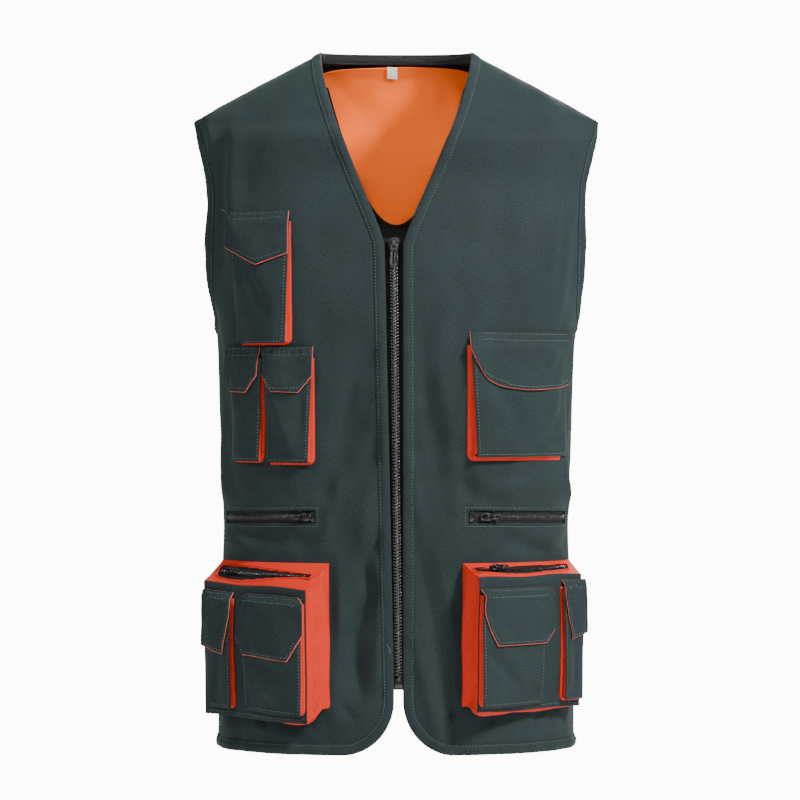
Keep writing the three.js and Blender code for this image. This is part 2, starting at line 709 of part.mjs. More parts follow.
// Slider in its own frame: chain face at z = 0, pull hanging towards -y. Under is how deep the chain
// and its tape lie, or 0 where only the front half of the slider is built.
function sliderShape(size, under) {
  const { length, wideTop, wideFoot, crownLong, crownHigh, crownWide, crownBar } = size;
  const top = length / 2;
  const shield = [
    [-wideFoot / 2, -top], [wideFoot / 2, -top], [wideTop / 2, top - shieldShoulder],
    [wideTop / 2 - shieldChamfer, top], [shieldChamfer - wideTop / 2, top],
    [-wideTop / 2, top - shieldShoulder],
  ];
  const face = runningGap + size.plate;
  const parts = [plate(shield, runningGap, face)];
  const half = crownLong / 2;
  const foot = crownBar;
  parts.push(
    block(-crownWide / 2, crownWide / 2, -half, -half + foot, face - weld, face + crownHigh),
    block(-crownWide / 2, crownWide / 2, half - foot, half, face - weld, face + crownHigh),
    block(-crownWide / 2, crownWide / 2, -half, half, face + crownHigh - crownBar, face + crownHigh),
  );
  if (under > 0) {
    parts.push(plate(shield, -under - runningGap - size.plate, -under - runningGap));
    const neckTop = top - shieldShoulder / 3;
    const back = -under - runningGap;
    parts.push(block(-size.neck / 2, size.neck / 2, top - shieldShoulder, neckTop, back - weld, face - weld));
  }
  return fuse(...parts);
}
const axisHeight = (size) => runningGap + size.plate + (size.crownHigh - size.crownBar) / 2;

// Pull in the same frame: a bar under the crown, an eye round it and a tapered plate with a slot
function pullShape(size) {
  const { pullLong, pullTop, pullFoot, pullThick, crownWide, crownLong } = size;
  const z0 = axisHeight(size) - pullThick / 2;
  const z1 = z0 + pullThick;
  const bar = pullThick / 2;
  const eye = crownWide / 2 + runningGap;
  const eyeEnd = -(Math.hypot(crownLong / 2, size.crownHigh - size.crownBar) + pullEye);
  const shoulder = eyeEnd - pullRim / 2;
  const slotTop = eyeEnd - pullRim;
  const slotFoot = pullRim - pullLong;
  const nip = 0.75 * pullRim; // the pull's lower corners are cut off by this
  return plate(
    [
      [-pullTop / 2, bar], [pullTop / 2, bar], [pullTop / 2, shoulder],
      [pullFoot / 2, nip - pullLong], [pullFoot / 2 - nip, -pullLong],
      [nip - pullFoot / 2, -pullLong], [-pullFoot / 2, nip - pullLong], [-pullTop / 2, shoulder],
    ],
    z0,
    z1,
    [
      [[-eye, -bar], [-eye, eyeEnd], [eye, eyeEnd], [eye, -bar]],
      [
        [-slotHalf, slotTop], [pullRim - pullFoot / 2, slotFoot],
        [pullFoot / 2 - pullRim, slotFoot], [slotHalf, slotTop],
      ],
    ],
  );
}

function placeSlider(name, frame, size, under) {
  addPiece(`${name}_slider`, sliderShape(size, under).applyMatrix4(frame), "metal");
  addPiece(`${name}_pull`, pullShape(size).applyMatrix4(frame), "metal");
}

function buildShell() {
  for (const side of [-1, 1]) {
    const window = slitBlock(side, 0, 6, -wall - 6);
    const whole = panelLayer(frontPanel[side], 0, -wall);
    addPiece(side < 0 ? "front_right" : "front_left", cutAway(whole, window), "cloth");
  }
  addPiece("back_panel", panelLayer(backPanel, 0, -wall), "cloth");
}

// A binding folded round an edge of a panel. Each station names a point of the panel's rim and its
// neighbour in the cloth, towards which the binding reaches bindingWide on both faces.
function bindingOn(stations, ring = false) {
  const profile = (lift) => (i, j) => {
    const { panel, rim, next } = stations[i];
    const outside = j < 2;
    const points = [rim, next].map(([a, b]) => panel.point(a, b, outside ? 0 : -wall));
    const away = panel.point(...rim, 0).sub(panel.point(...rim, -wall)).setLength(outside ? lift : -lift);
    const run = points[1].clone().sub(points[0]);
    run.setLength(j === 0 || j === 3 ? Math.min(bindingWide, run.length()) : -lift);
    return points[0].add(run).add(away);
  };
  const high = profile(bindingRoom + bindingThick);
  return layer(ring ? stations.length : stations.length - 1, 3, high, profile(bindingRoom), ring);
}

function buildBindings() {
  const top = lowerRows + upperRows;
  const count = (n) => Array.from({ length: n }, (_, k) => k);
  for (const side of [-1, 1]) {
    const name = side < 0 ? "right" : "left";
    const panel = frontPanel[side];
    const edge = [
      { panel, rim: [0, top], next: [1, top] },
      ...count(top - 1).map((k) => ({ panel, rim: [0, top - 1 - k], next: [1, top - 1 - k] })),
      { panel, rim: [0, 0], next: [1, 1] },
      ...count(panelColumns).map((k) => ({ panel, rim: [k + 1, 0], next: [k + 1, 1] })),
    ];
    addPiece(`edge_binding_${name}`, cutAway(bindingOn(edge), shellCutter[side]), "cloth");

    // Round the armhole: up the front from the armpit, over the shoulder and down the back
    const outer = side < 0 ? 0 : backColumns;
    const inward = side < 0 ? 1 : -1;
    const along = (panelHere, column, step) =>
      count(upperRows + 1).map((k) => {
        const row = lowerRows + k;
        const rim = [column, row];
        if (k === 0) return { panel: panelHere, rim, next: [column, row - 1] };
        return { panel: panelHere, rim, next: [column + step, row] };
      });
    const round = [...along(panel, panelColumns, -1), ...along(backPanel, outer, inward).reverse()];
    const binding = cutAway(bindingOn(round, true), shellCutter[side], shellCutter.back);
    addPiece(`armhole_binding_${name}`, binding, "cloth");
  }
  const neckEnd = backColumns - seamColumns;
  const neck = count(neckEnd - seamColumns + 1).map((k) => {
    const column = seamColumns + k;
    const next = { [seamColumns]: [column - 1, top], [neckEnd]: [column + 1, top] }[column];
    return { panel: backPanel, rim: [column, top], next: next ?? [column, top - 1] };
  });
  addPiece("neck_binding", cutAway(bindingOn(neck), shellCutter.back), "tape");
  const hem = count(backColumns + 1).map((k) => ({ panel: backPanel, rim: [k, 0], next: [k, 1] }));
  addPiece("hem_binding_back", bindingOn(hem), "cloth");
}

// Half-moon of contrast lining inside the back, and the blank label under the neck binding
function buildNeckFacing() {
  const off0 = -wall - 3 * clearance;
  const topAt = (share) => backNeck(share).down + bindingWide + 2 * clearance;
  const columns = 10;
  const rows = 4;
  const face = (off) => (i, j) => {
    const share = lerp(-0.94, 0.94, i / columns);
    const x = share * facingHalf;
    const bottom = facingDepth * (1 - Math.abs(x / facingHalf) ** 2) ** 1.18;
    const top = topAt(share) + 8 * Math.abs(share) ** 8;
    const down = lerp(top, Math.max(bottom, top + 14), (j / rows) ** 1.2);
    return back.point(back.acrossOfX(x, down), down, off);
  };
  const facing = layer(columns, rows, face(off0), face(off0 - facingCloth));
  addPiece("neck_facing", cutAway(facing, shellCutter.back), "lining");

  const labelTop = topAt(0) - 3;
  const labelOff = off0 - facingCloth - 2 * clearance;
  const labelX = -4;
  const spot = (off) => (i, j) =>
    back.point(labelX + (i - 0.5) * labelWide, labelTop + 3 + j * labelHigh, off);
  addPiece("size_label", layer(1, 1, spot(labelOff), spot(labelOff - 0.7)), "label");
}

function buildFrontZip() {
  const tapeOff = -wall - bindingRoom - bindingThick - clearance - seatGap;
  const chainFace = -zipRecess;
  const chainUnder = tapeOff + seatGap;
  const topDown = vDepth - 7;
  const chainTop = vDepth + mainSlider.length / 2 - 1;
  const chainFoot = zipEndDepth - boxHigh - seatGap;
  const pointAtX = (x, down, off) => front.point(front.acrossOfX(x, down), down, off);

  for (const side of [-1, 1]) {
    const name = side < 0 ? "right" : "left";
    const rows = innerEdge(side).map((at) => at.down);
    const downs = [topDown, ...rows.filter((down) => down > topDown + 5 && down < zipEndDepth - 5).reverse()];
    downs.push(zipEndDepth);
    const tape = (off) => (i, j) =>
      pointAtX(zipX(downs[i]) + side * (tapeInner + j * tapeWide), downs[i], off);
    const tapeStrip = layer(downs.length - 1, 1, tape(tapeOff), tape(tapeOff - tapeThick));
    addPiece(`zip_tape_${name}`, cutAway(tapeStrip, shellCutter[side]), "tape");

    // The two rows of teeth mesh: where one side's reach past the middle, the other's hold back
    const pitches = Math.floor((chainFoot - chainTop) / toothPitch);
    const teeth = (off) => (i, j) => {
      const down = chainTop + (i * (chainFoot - chainTop)) / (2 * pitches);
      const passes = (i % 2 === 0) === side > 0;
      const reach = (passes ? toothReach : -toothReach) - toothRoom;
      return pointAtX(zipX(down) + (j === 0 ? side * chainHalf : -reach * side), down, off);
    };
    addPiece(`zip_teeth_${name}`, layer(2 * pitches, 1, teeth(chainFace), teeth(chainUnder)), "tooth");
  }

  const out = (down) =>
    pointAtX(zipX(down), down, 10).sub(pointAtX(zipX(down), down, 0)).normalize();
  const upward = (down) => pointAtX(zipX(down - 5), down - 5, 0).sub(pointAtX(zipX(down + 5), down + 5, 0));
  const frameAt = (down) => frameOn(pointAtX(zipX(down), down, chainFace), upward(down), out(down));

  const boxDown = zipEndDepth - boxHigh / 2;
  addPiece(
    "zip_box",
    block(-chainHalf, chainHalf, -boxHigh / 2, boxHigh / 2, chainUnder - chainFace, 1)
      .applyMatrix4(frameAt(boxDown)),
    "tooth",
  );
  placeSlider("zip", frameAt(vDepth), mainSlider, chainFace - tapeOff + tapeThick + seatGap);
}

// Bellows pocket on a host surface: cloth front, contrast gusset round its sides and bottom, and flap.
// host(across, down, off) gives a point, with across growing away from the vest's centre.
// Where it meets the shell it is cut back by the shell's cutter.
// A pocket's places are shares of wide and high, the extent of its host.
function buildPatchPocket(name, host, pocket, wide, high, cutter) {
  const seated = (geometry) => (cutter ? cutAway(geometry, cutter) : geometry);
  const [inner, outer, flapInner, flapOuter] = ["inner", "outer", "flapInner", "flapOuter"].map(
    (key) => pocket[key] * wide,
  );
  const [mouth, bottom, flapTop, flapHigh] = ["mouth", "bottom", "flapTop", "flapHigh"].map(
    (key) => pocket[key] * high,
  );
  const [inset, tuck, swellMouth, swellBottom] = ["inset", "tuck", "swellMouth", "swellBottom"].map(
    (key) => pocket[key] * pocketSwell,
  );
  const clamped = (low, high, at) => THREE.MathUtils.clamp((at - low) / (high - low), 0, 1);
  const frontInner = inner + inset;
  const frontBottom = bottom - inset / 2;
  const flush = clearance + seatGap; // how far the front's flat sewn side lies off its host
  const swellAt = (across, down) => {
    const full = lerp(swellMouth, swellBottom, clamped(mouth, bottom, down));
    return lerp(Math.max(full, flush), flush, clamped(frontInner, outer, across) ** 1.5);
  };
  const bulge = (low, high, at) => Math.sin(Math.PI * clamped(low, high, at));
  const faceOff = (across, down) =>
    swellAt(across, down) + pocketPillow * bulge(frontInner, outer, across) * bulge(mouth, frontBottom, down);
  const faceSteps = Math.max(3, Math.round((outer - inner) / pocketStep));
  const faceColumns = steps(faceSteps, (t) => lerp(frontInner, outer, t));
  const frontFace = (lift) => (i, j) => {
    const down = lerp(mouth, frontBottom, j / 3);
    return host(faceColumns[i], down, faceOff(faceColumns[i], down) + lift);
  };
  const face = layer(faceSteps, 3, frontFace(pocketCloth), frontFace(0));
  addPiece(`${name}_front`, seated(face), "cloth");

  // Gusset stations go down the inner side and outwards along the bottom, to where it tapers off
  const sideSteps = 2;
  const stations = [
    ...steps(sideSteps, (t) => ({ at: [inner, lerp(mouth, bottom, t)], in: [1, 0] })),
    ...steps(faceSteps, (t) => ({ at: [lerp(inner, outer, t * gussetRun), bottom], in: [0, -1] })).slice(1),
  ];
  stations[sideSteps].in = [1, -1];
  const gusset = (thick) => (i, j) => {
    const { at, in: into } = stations[i];
    const depth = Math.max(swellAt(Math.max(at[0], frontInner), at[1]) - clearance - seatGap, clearance + 1);
    const towards = [0, inset / 2 + gussetCrease, inset][j] + thick;
    const off = lerp(clearance, depth, j / 2);
    const drop = into[1] * towards * (j === 2 ? 0.5 : 0.7);
    return host(at[0] + into[0] * towards, at[1] + drop, off);
  };
  const sides = layer(stations.length - 1, 2, gusset(0), gusset(gussetCloth));
  addPiece(`${name}_gusset`, seated(sides), "contrast");

  // The flap is sewn above the mouth and lies on the pocket's front
  const outline = flapShapes[pocket.shape];
  const shareOf = (across) => (across - flapInner) / (flapOuter - flapInner);
  const corners = outline.map((row) => row.across);
  const isNew = (at) => at > 0.06 && at < 0.94 && corners.every((corner) => Math.abs(corner - at) > 0.06);
  const flapColumns = [...corners, ...faceColumns.map(shareOf).filter(isNew)].sort((a, b) => a - b);
  const dropAt = (share) => {
    const k = Math.max(outline.findIndex((row) => row.across >= share), 1);
    const before = outline[k - 1];
    const after = outline[k];
    return lerp(before.drop, after.drop, (share - before.across) / (after.across - before.across));
  };
  const flapFace = (lift) => (i, j) => {
    const share = flapColumns[i];
    const down = [flapTop, mouth, flapTop + dropAt(share) * flapHigh][j];
    const drawnIn = tuck * (1 - 2 * share) * (j === 0 ? 1 : 0);
    const across = lerp(flapInner, flapOuter, share) + drawnIn;
    const off = j === 0 ? clearance : faceOff(across, down) + pocketCloth + flapRoom;
    return host(across, down, off + lift);
  };
  const flap = layer(flapColumns.length - 1, 2, flapFace(pocketCloth), flapFace(0));
  addPiece(`${name}_flap`, seated(flap), "cloth");
}

function buildFrontPockets() {
  for (const pocket of patchPockets) {
    const host = (across, down, off) => front.point(pocket.side * across, down, off);
    buildPatchPocket(pocket.name, host, pocket, frontReach, bodyLength, shellCutter[pocket.side]);
  }
}

function buildSlits() {
  for (const side of [-1, 1]) {
    const name = side < 0 ? "right" : "left";
    const tapeTop = -zipRecess;
    const tape = slitBlock(side, -clearance, tapeTop, tapeTop - tapeThick - 0.6);
    const chain = slitBlock(side, -3, tapeTop + slitChainThick, tapeTop - 0.5, 2 * slitChainHalf + 6);
    addPiece(`slit_zip_${name}`, fuse(tape, chain), "tape");

    // The slider stands at the inner end, with its pull lying outwards along the chain
    const share = 0.085;
    const at = slitLine(share);
    const top = tapeTop + slitChainThick;
    const point = (more, off) =>
      front.point(side * (at.across + more), slitLine(share + more / (slitOuter - slitInner)).down, off);
    const along = point(-6, top).sub(point(6, top));
    const out = point(0, top + 5).sub(point(0, top));
    placeSlider(`slit_${name}`, frameOn(point(0, top), along, out), pocketSlider, 0);
  }
}

// Cargo pocket: a gusset ring from the seam on the front to the face, which hangs lower and stands off
function buildCargo({ side, name, sag, tilt, shift }) {
  const onFront = (across, down, off) => front.point(side * across, down, off);
  const midDown = (cargoTop + cargoBottom) / 2;
  const chord = onFront(cargoOuter, midDown, 0).sub(onFront(cargoInner, midDown, 0)).setZ(0);
  const faceWide = chord.length() - 2 * cargoInset;
  const along = chord.clone().normalize();
  const out = new THREE.Vector3(along.y, -along.x, 0).multiplyScalar(side);
  const corner = onFront(cargoInner, cargoTop, 0);
  const host = (across, down, off) => {
    const shareDown = down / cargoFaceHigh;
    const pillow =
      cargoPillow *
      Math.sin(Math.PI * THREE.MathUtils.clamp(across / faceWide, 0, 1)) *
      Math.sin(Math.PI * THREE.MathUtils.clamp(shareDown, 0, 1));
    return corner
      .clone()
      .addScaledVector(along, cargoInset + shift * cargoFaceHigh + across)
      .addScaledVector(out, lerp(cargoDepthTop, cargoDepthBottom, shareDown) + pillow + off)
      .setZ(-cargoTop - down - (sag - (tilt * across) / faceWide) * cargoFaceHigh);
  };
  const face = (off) => (i, j) => host((faceWide * i) / 6, (cargoFaceHigh * j) / 5, off);
  addPiece(`${name}_face`, layer(6, 5, face(0), face(-pocketCloth)), "cloth");

  // Ring stations: along the top, down the outer side, back along the bottom, up the inner side
  const ringStations = [
    ...steps(6, (t) => ({ u: t, v: 0, in: [0, 1] })).slice(0, -1),
    ...steps(4, (t) => ({ u: 1, v: t, in: [-1, 0] })).slice(0, -1),
    ...steps(6, (t) => ({ u: 1 - t, v: 1, in: [0, -1] })).slice(0, -1),
    ...steps(4, (t) => ({ u: 0, v: 1 - t, in: [1, 0] })).slice(0, -1),
  ];
  for (const station of ringStations)
    if ((station.u === 0 || station.u === 1) && (station.v === 0 || station.v === 1))
      station.in = [station.u ? -1 : 1, station.v ? -1 : 1];
  const seamAt = (u, v, into, thick, off) =>
    onFront(
      lerp(cargoInner, cargoOuter, u) + into[0] * thick,
      lerp(cargoTop, cargoBottom, v) + into[1] * thick,
      off,
    );
  const rimAt = (u, v, into, thick) =>
    host(u * faceWide + into[0] * thick, v * cargoFaceHigh + into[1] * thick, -pocketCloth - clearance);
  const ring = (thick) => (i, j) => {
    const { u, v, in: into } = ringStations[i];
    return seamAt(u, v, into, thick, clearance).lerp(rimAt(u, v, into, thick), j / 2);
  };
  const gusset = layer(ringStations.length, 2, ring(0), ring(gussetCloth), true);

  // The zip lies in a slot along the middle of the top panel
  const flatPanel = (u, q) => seamAt(u, 0, [0, 1], 0, clearance).lerp(rimAt(u, 0, [0, 1], 0), q);
  const topPanel = (u, q, lift) => {
    const across = flatPanel(u + 0.02, 0.5).sub(flatPanel(u - 0.02, 0.5));
    const up = across.cross(flatPanel(u, 1).sub(flatPanel(u, 0))).normalize();
    return flatPanel(u, q).addScaledVector(up, up.z < 0 ? -lift : lift);
  };
  const slopeLong = topPanel(0.5, 1, 0).distanceTo(topPanel(0.5, 0, 0));
  const zipColumns = 5;
  const slot = (shorter, wide, lift0, lift1) =>
    layer(
      zipColumns,
      1,
      ...[lift0, lift1].map((lift) => (i, j) => {
        const trim = shorter / faceWide;
        const u = lerp(cargoZip.from + trim, cargoZip.to - trim, i / zipColumns);
        return topPanel(u, 0.5 + ((j - 0.5) * wide) / slopeLong, lift);
      }),
    );
  const cutDeep = 6; // past both faces of the gusset
  const zipSlot = slot(0, cargoZipWide, cutDeep, -cutDeep);
  addPiece(`${name}_gusset`, cutAway(gusset, zipSlot, shellCutter[side]), "contrast");
  const tapeTop = -0.2;
  const tape = slot(clearance, cargoZipWide - 2 * clearance, tapeTop, tapeTop - tapeThick);
  const chain = slot(4, 2 * slitChainHalf, tapeTop + slitChainThick, tapeTop - 0.5);
  addPiece(`${name}_zip`, fuse(tape, chain), "tape");

  // On the right the slider stands at the outer end, on the left at the inner end
  const sliderShare = side < 0 ? lerp(cargoZip.from, cargoZip.to, 0.9) : lerp(cargoZip.from, cargoZip.to, 0.1);
  const towards = side < 0 ? 0.05 : -0.05;
  const top = tapeTop + slitChainThick;
  const here = topPanel(sliderShare, 0.5, top);
  const runs = topPanel(sliderShare + towards, 0.5, top).sub(topPanel(sliderShare - towards, 0.5, top));
  const outward = topPanel(sliderShare, 0.5, top + 5).sub(here);
  placeSlider(name, frameOn(here, runs, outward), pocketSlider, 0);

  for (const pocket of facePockets.filter((row) => row.side === side)) {
    buildPatchPocket(`${name}_${pocket.name}`, host, pocket, faceWide, cargoFaceHigh, null);
  }
}

buildShell();
buildBindings();
buildNeckFacing();
buildFrontZip();
buildFrontPockets();
buildSlits();
cargoSides.forEach(buildCargo);

export default vest;
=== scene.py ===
import math
import bpy
import numpy as np
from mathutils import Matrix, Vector


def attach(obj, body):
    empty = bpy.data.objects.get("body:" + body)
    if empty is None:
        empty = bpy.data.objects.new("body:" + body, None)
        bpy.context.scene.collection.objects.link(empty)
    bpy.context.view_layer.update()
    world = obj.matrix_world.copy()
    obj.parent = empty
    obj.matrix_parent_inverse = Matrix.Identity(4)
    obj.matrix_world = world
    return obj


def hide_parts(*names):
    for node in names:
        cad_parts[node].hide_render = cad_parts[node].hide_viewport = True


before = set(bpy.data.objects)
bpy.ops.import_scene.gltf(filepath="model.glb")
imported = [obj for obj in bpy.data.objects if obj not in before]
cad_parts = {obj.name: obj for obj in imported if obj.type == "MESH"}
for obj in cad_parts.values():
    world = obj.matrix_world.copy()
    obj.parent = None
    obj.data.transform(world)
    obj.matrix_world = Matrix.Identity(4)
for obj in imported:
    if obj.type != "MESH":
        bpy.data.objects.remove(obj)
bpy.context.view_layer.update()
print("frame loaded")

# Sizes in millimetres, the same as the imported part's. Side -1 is the wearer's right.
shell = {
    "length": 692, "shoulderHalf": 200.5, "shoulderDrop": 74, "neckHalf": 77, "neckDrop": 4,
    "backNeckDip": -4, "front": 115.5, "back": 119, "power": 2.3, "wall": 2.2, "seamGap": 0.0,
    "vDepth": 200, "zipEnd": 628, "openTop": 9, "openFoot": 4.4, "zipTopX": -2.1, "zipFootX": 2.6,
    "cornerWide": 50, "cornerHigh": 52, "hemRise": 44, "armholeDeep": 201, "armFront": 46, "armBack": 52,
    "bindRoom": 1.8,
    # drop, out, front, back on the shoulders, then down, half, front, back under them
    "shoulders": [(0.054, 0, 0.11, 0.52), (0.27, 0.24, 0.31, 0.63), (0.54, 0.543, 0.46, 0.72),
                  (0.84, 0.866, 0.574, 0.79), (1, 1, 0.626, 0.815)],
    "slices": [(0.034, 1.008, 0.826, 0.857), (0.091, 1.022, 0.8, 0.916), (0.172, 1.014, 0.913, 0.983),
               (0.252, 0.964, 0.983, 1), (0.325, 0.897, 1, 0.9916), (0.414, 0.882, 0.991, 0.941),
               (0.5275, 0.872, 0.948, 0.882), (0.641, 0.857, 0.922, 0.857), (0.754, 0.869, 0.917, 0.874),
               (1, 0.888, 0.939, 0.924)],
}
reach = 1.147 * shell["shoulderHalf"]
long = shell["length"]


def mix(a, b, t):
    return a + (b - a) * t


def clampShare(low, high, at):
    return np.clip((at - low) / (high - low), 0, 1)


def ease(x, low, high):
    t = clampShare(low, high, np.asarray(x, float))
    return t * t * (3 - 2 * t)


def endFade(share, wide):  # 0 at both ends of a share, 1 from wide in
    return ease(share, 0, wide) * ease(1 - share, 0, wide)


def dent(x, centre, wide):  # a bell of height 1
    return np.exp(-((x - centre) / wide) ** 2)


def edgeRoll(edge):  # 1 at a sheet's edge, 0 from 1 mm in
    near = np.clip(edge, 0, 1)
    return 1 - np.sqrt(near * (2 - near))


def curveThrough(xs, ys):
    xs, ys = np.array(xs, float), np.array(ys, float)
    gap = np.diff(xs)
    slope = np.diff(ys) / gap
    lean = np.zeros_like(ys)
    lean[0], lean[-1] = slope[0], slope[-1]
    for i in range(1, len(xs) - 1):
        if slope[i - 1] * slope[i] > 0:
            before, after = 2 * gap[i] + gap[i - 1], gap[i] + 2 * gap[i - 1]
            lean[i] = (before + after) / (before / slope[i - 1] + after / slope[i])

    def at(x):
        x = np.clip(x, xs[0], xs[-1])
        i = np.clip(np.searchsorted(xs, x, side="right") - 1, 0, len(xs) - 2)
        t = (x - xs[i]) / gap[i]
        return ((1 + 2 * t) * (1 - t) ** 2 * ys[i] + t * (1 - t) ** 2 * gap[i] * lean[i]
                + t * t * (3 - 2 * t) * ys[i + 1] + t * t * (t - 1) * gap[i] * lean[i + 1])
    return at


rows = []
for k, (drop, out, front, back) in enumerate(shell["shoulders"]):
    down = shell["neckDrop"] if k == 0 else drop * shell["shoulderDrop"]
    rows.append((down, mix(shell["neckHalf"], shell["shoulderHalf"], out), front * shell["front"],
                 back * shell["back"]))
for share, half, front, back in shell["slices"]:
    rows.append((mix(shell["shoulderDrop"], long, share), half * shell["shoulderHalf"],
                 front * shell["front"], back * shell["back"]))
downs = [row[0] for row in rows]
halfAt = curveThrough(downs, [row[1] for row in rows])
depthAt = {-1: curveThrough(downs, [row[2] for row in rows]), 1: curveThrough(downs, [row[3] for row in rows])}

# Lengths along the cloth from the centre line, one row for each 2 mm of depth
arcSteps, arcRow = 90, 2.0
arcDowns = np.arange(0, long + 8, arcRow)
arcTurns = np.linspace(0, np.pi / 2, arcSteps + 1)
bend = 2 / shell["power"]
arcTable = {}
for facing in (-1, 1):
    x = halfAt(arcDowns)[:, None] * np.sin(arcTurns) ** bend
    y = depthAt[facing](arcDowns)[:, None] * np.maximum(np.cos(arcTurns), 0) ** bend
    pieces = np.hypot(np.diff(x, axis=1), np.diff(y, axis=1))
    arcTable[facing] = np.concatenate([np.zeros((len(arcDowns), 1)), np.cumsum(pieces, axis=1)], axis=1)


def girthAt(facing, down):
    return np.interp(down, arcDowns, arcTable[facing][:, -1])


def turnAt(facing, across, down):
    table = arcTable[facing]
    far = 1e5
    flat = (table + np.arange(len(table))[:, None] * far).ravel()
    row = np.clip(np.asarray(down, float) / arcRow, 0, len(table) - 1.001)
    low = row.astype(int)
    share = np.clip(np.abs(across) / girthAt(facing, down), 0, 1)

    def inRow(r):
        length = np.minimum(share * table[r, -1], table[r, -1] - 1e-6)
        k = np.clip(np.searchsorted(flat, r * far + length) - r * (arcSteps + 1), 1, arcSteps)
        l0, l1 = table[r, k - 1], table[r, k]
        return (k - 1 + (length - l0) / (l1 - l0)) / arcSteps * np.pi / 2
    return mix(inRow(low), inRow(low + 1), row - low)


def acrossOfTurn(facing, turn, down):
    row = np.clip(np.asarray(down, float) / arcRow, 0, len(arcDowns) - 1.001)
    low = row.astype(int)
    place = np.clip(turn / (np.pi / 2) * arcSteps, 0, arcSteps - 1e-6)
    k = place.astype(int)
    table = arcTable[facing]
    here = [mix(table[r, k], table[r, k + 1], place - k) for r in (low, low + 1)]
    return mix(here[0], here[1], row - low)


def acrossOfX(facing, x, down):
    turn = np.arcsin(np.clip(np.abs(x) / halfAt(down), 0, 1) ** (1 / bend))
    return np.sign(x) * acrossOfTurn(facing, turn, down)


def acrossOfY(facing, y, down):
    return acrossOfTurn(facing, np.arccos(np.clip(y / depthAt[facing](down), 0, 1) ** (1 / bend)), down)


latticeSize = 64
lattice = np.random.default_rng(7).random((latticeSize, latticeSize)) * 2 - 1


def noiseAt(u, v, scale, seed=0):  # smooth value noise over a plane, about -1 to 1
    u, v = np.asarray(u, float) / scale + seed * 7.31, np.asarray(v, float) / scale + seed * 3.17
    i, j = np.floor(u).astype(int), np.floor(v).astype(int)
    s, t = u - i, v - j
    s, t = s * s * (3 - 2 * s), t * t * (3 - 2 * t)
    at = lambda a, b: lattice[a % latticeSize, b % latticeSize]
    return mix(mix(at(i, j), at(i + 1, j), s), mix(at(i, j + 1), at(i + 1, j + 1), s), t)


# Folds of the shell: side, then across and down of both ends, width and height
folds = {
    "front": [
        (1, 16, 277, 46, 457, 14.4, -4), (1, 23, 457, 55, 595, 14.4, -3.6), (1, 28, 540, 55, 671, 19.2, 3.6),
        (1, 202, 111, 193, 249, 16, -4), (1, 143, 83, 161, 228, 25.6, 2.8), (1, 212, 443, 115, 498, 19.2, 3.2),
        (-1, 23, 325, 83, 484, 14.4, -3.6), (-1, 28, 505, 55, 664, 20.8, -4.8), (-1, 14, 415, 46, 554, 16, 3.2),
        (-1, 198, 97, 189, 235, 16, -4), (-1, 212, 429, 127, 540, 19.2, 3.2),
    ],
    # smaller creases between them
    "creases": [
        (1, 10, 350, 40, 520, 7, -1.4), (1, 12, 398, 62, 600, 8, 1.8), (1, 14, 470, 62, 690, 7, -2.0),
        (1, 62, 395, 76, 470, 9, -1.6), (1, 46, 330, 60, 430, 10, 1.0), (1, 12, 560, 44, 690, 8, 1.7),
        (1, 60, 430, 92, 448, 9, -1.4), (1, 95, 440, 150, 428, 9, 1.5), (1, 110, 486, 160, 497, 8, -1.6),
        (1, 80, 300, 66, 360, 10, 0.8), (1, 175, 120, 168, 250, 8, -1.3), (1, 120, 150, 132, 250, 14, 1.0),
        (-1, 18, 300, 42, 330, 8, -1.3), (-1, 38, 318, 55, 382, 8, -1.6), (-1, 14, 384, 36, 430, 8, -1.6),
        (-1, 53, 420, 72, 490, 8, 1.5), (-1, 10, 478, 32, 508, 6, -2.4), (-1, 32, 508, 24, 540, 7, -2.4),
        (-1, 24, 540, 42, 578, 7, -2.6), (-1, 42, 578, 34, 640, 8, -2.2), (-1, 12, 520, 14, 620, 8, 1.6),
        (-1, 60, 500, 48, 600, 10, 1.6), (-1, 176, 80, 182, 210, 9, -1.6), (-1, 160, 76, 170, 150, 10, 1.2),
        (-1, 190, 60, 200, 130, 6, 1.2), (-1, 100, 425, 150, 440, 9, 1.3), (-1, 90, 490, 160, 480, 8, -1.5),
        (-1, 196, 360, 200, 440, 10, 1.2), (-1, 120, 70, 132, 150, 14, 0.9), (1, 196, 420, 204, 470, 8, 1.2),
        (-1, 40, 660, 60, 640, 6, -1.2), (-1, 80, 668, 96, 650, 6, -1.1), (-1, 130, 668, 140, 650, 6, -1.2),
        (1, 50, 660, 66, 640, 6, -1.3), (1, 86, 668, 98, 650, 6, -1.2), (1, 140, 668, 150, 650, 6, -1.2),
    ],
    "back": [
        (1, 60, 90, 40, 330, 26, 2.4), (-1, 70, 110, 45, 360, 26, 2.4), (1, 110, 230, 60, 470, 16, -2.2),
        (-1, 118, 250, 70, 480, 16, -2.2), (1, 20, 380, 60, 620, 14, 1.8), (-1, 14, 400, 66, 630, 14, -1.8),
        (1, 150, 300, 110, 560, 16, 2), (-1, 160, 300, 120, 570, 16, 2), (1, 100, 470, 150, 640, 12, -1.8),
        (-1, 90, 500, 150, 650, 12, -1.8), (1, 175, 110, 160, 260, 12, -1.6), (-1, 178, 110, 160, 260, 12, -1.6),
    ],
}
# Places where the cloth lies flat under what is sewn to it: inner, outer, top, foot
flatAreas = [
    (0, 9, shell["vDepth"], long), (0.2826 * reach, 0.9 * reach, 0.7341 * long, 0.9321 * long),
    (0.3391 * reach, 0.8522 * reach, 0.6712 * long - 7, 0.6712 * long + 7),
]


relief = {"folds": 1.6, "creases": 2.5, "broad": 1.1, "slanted": 1.5, "upper": 1.2, "fine": 0.3, "back": 0.9,
          "lean": 0.33, "hemPucker": 0.55, "edgePucker": 0.42, "seamQuiet": 30}


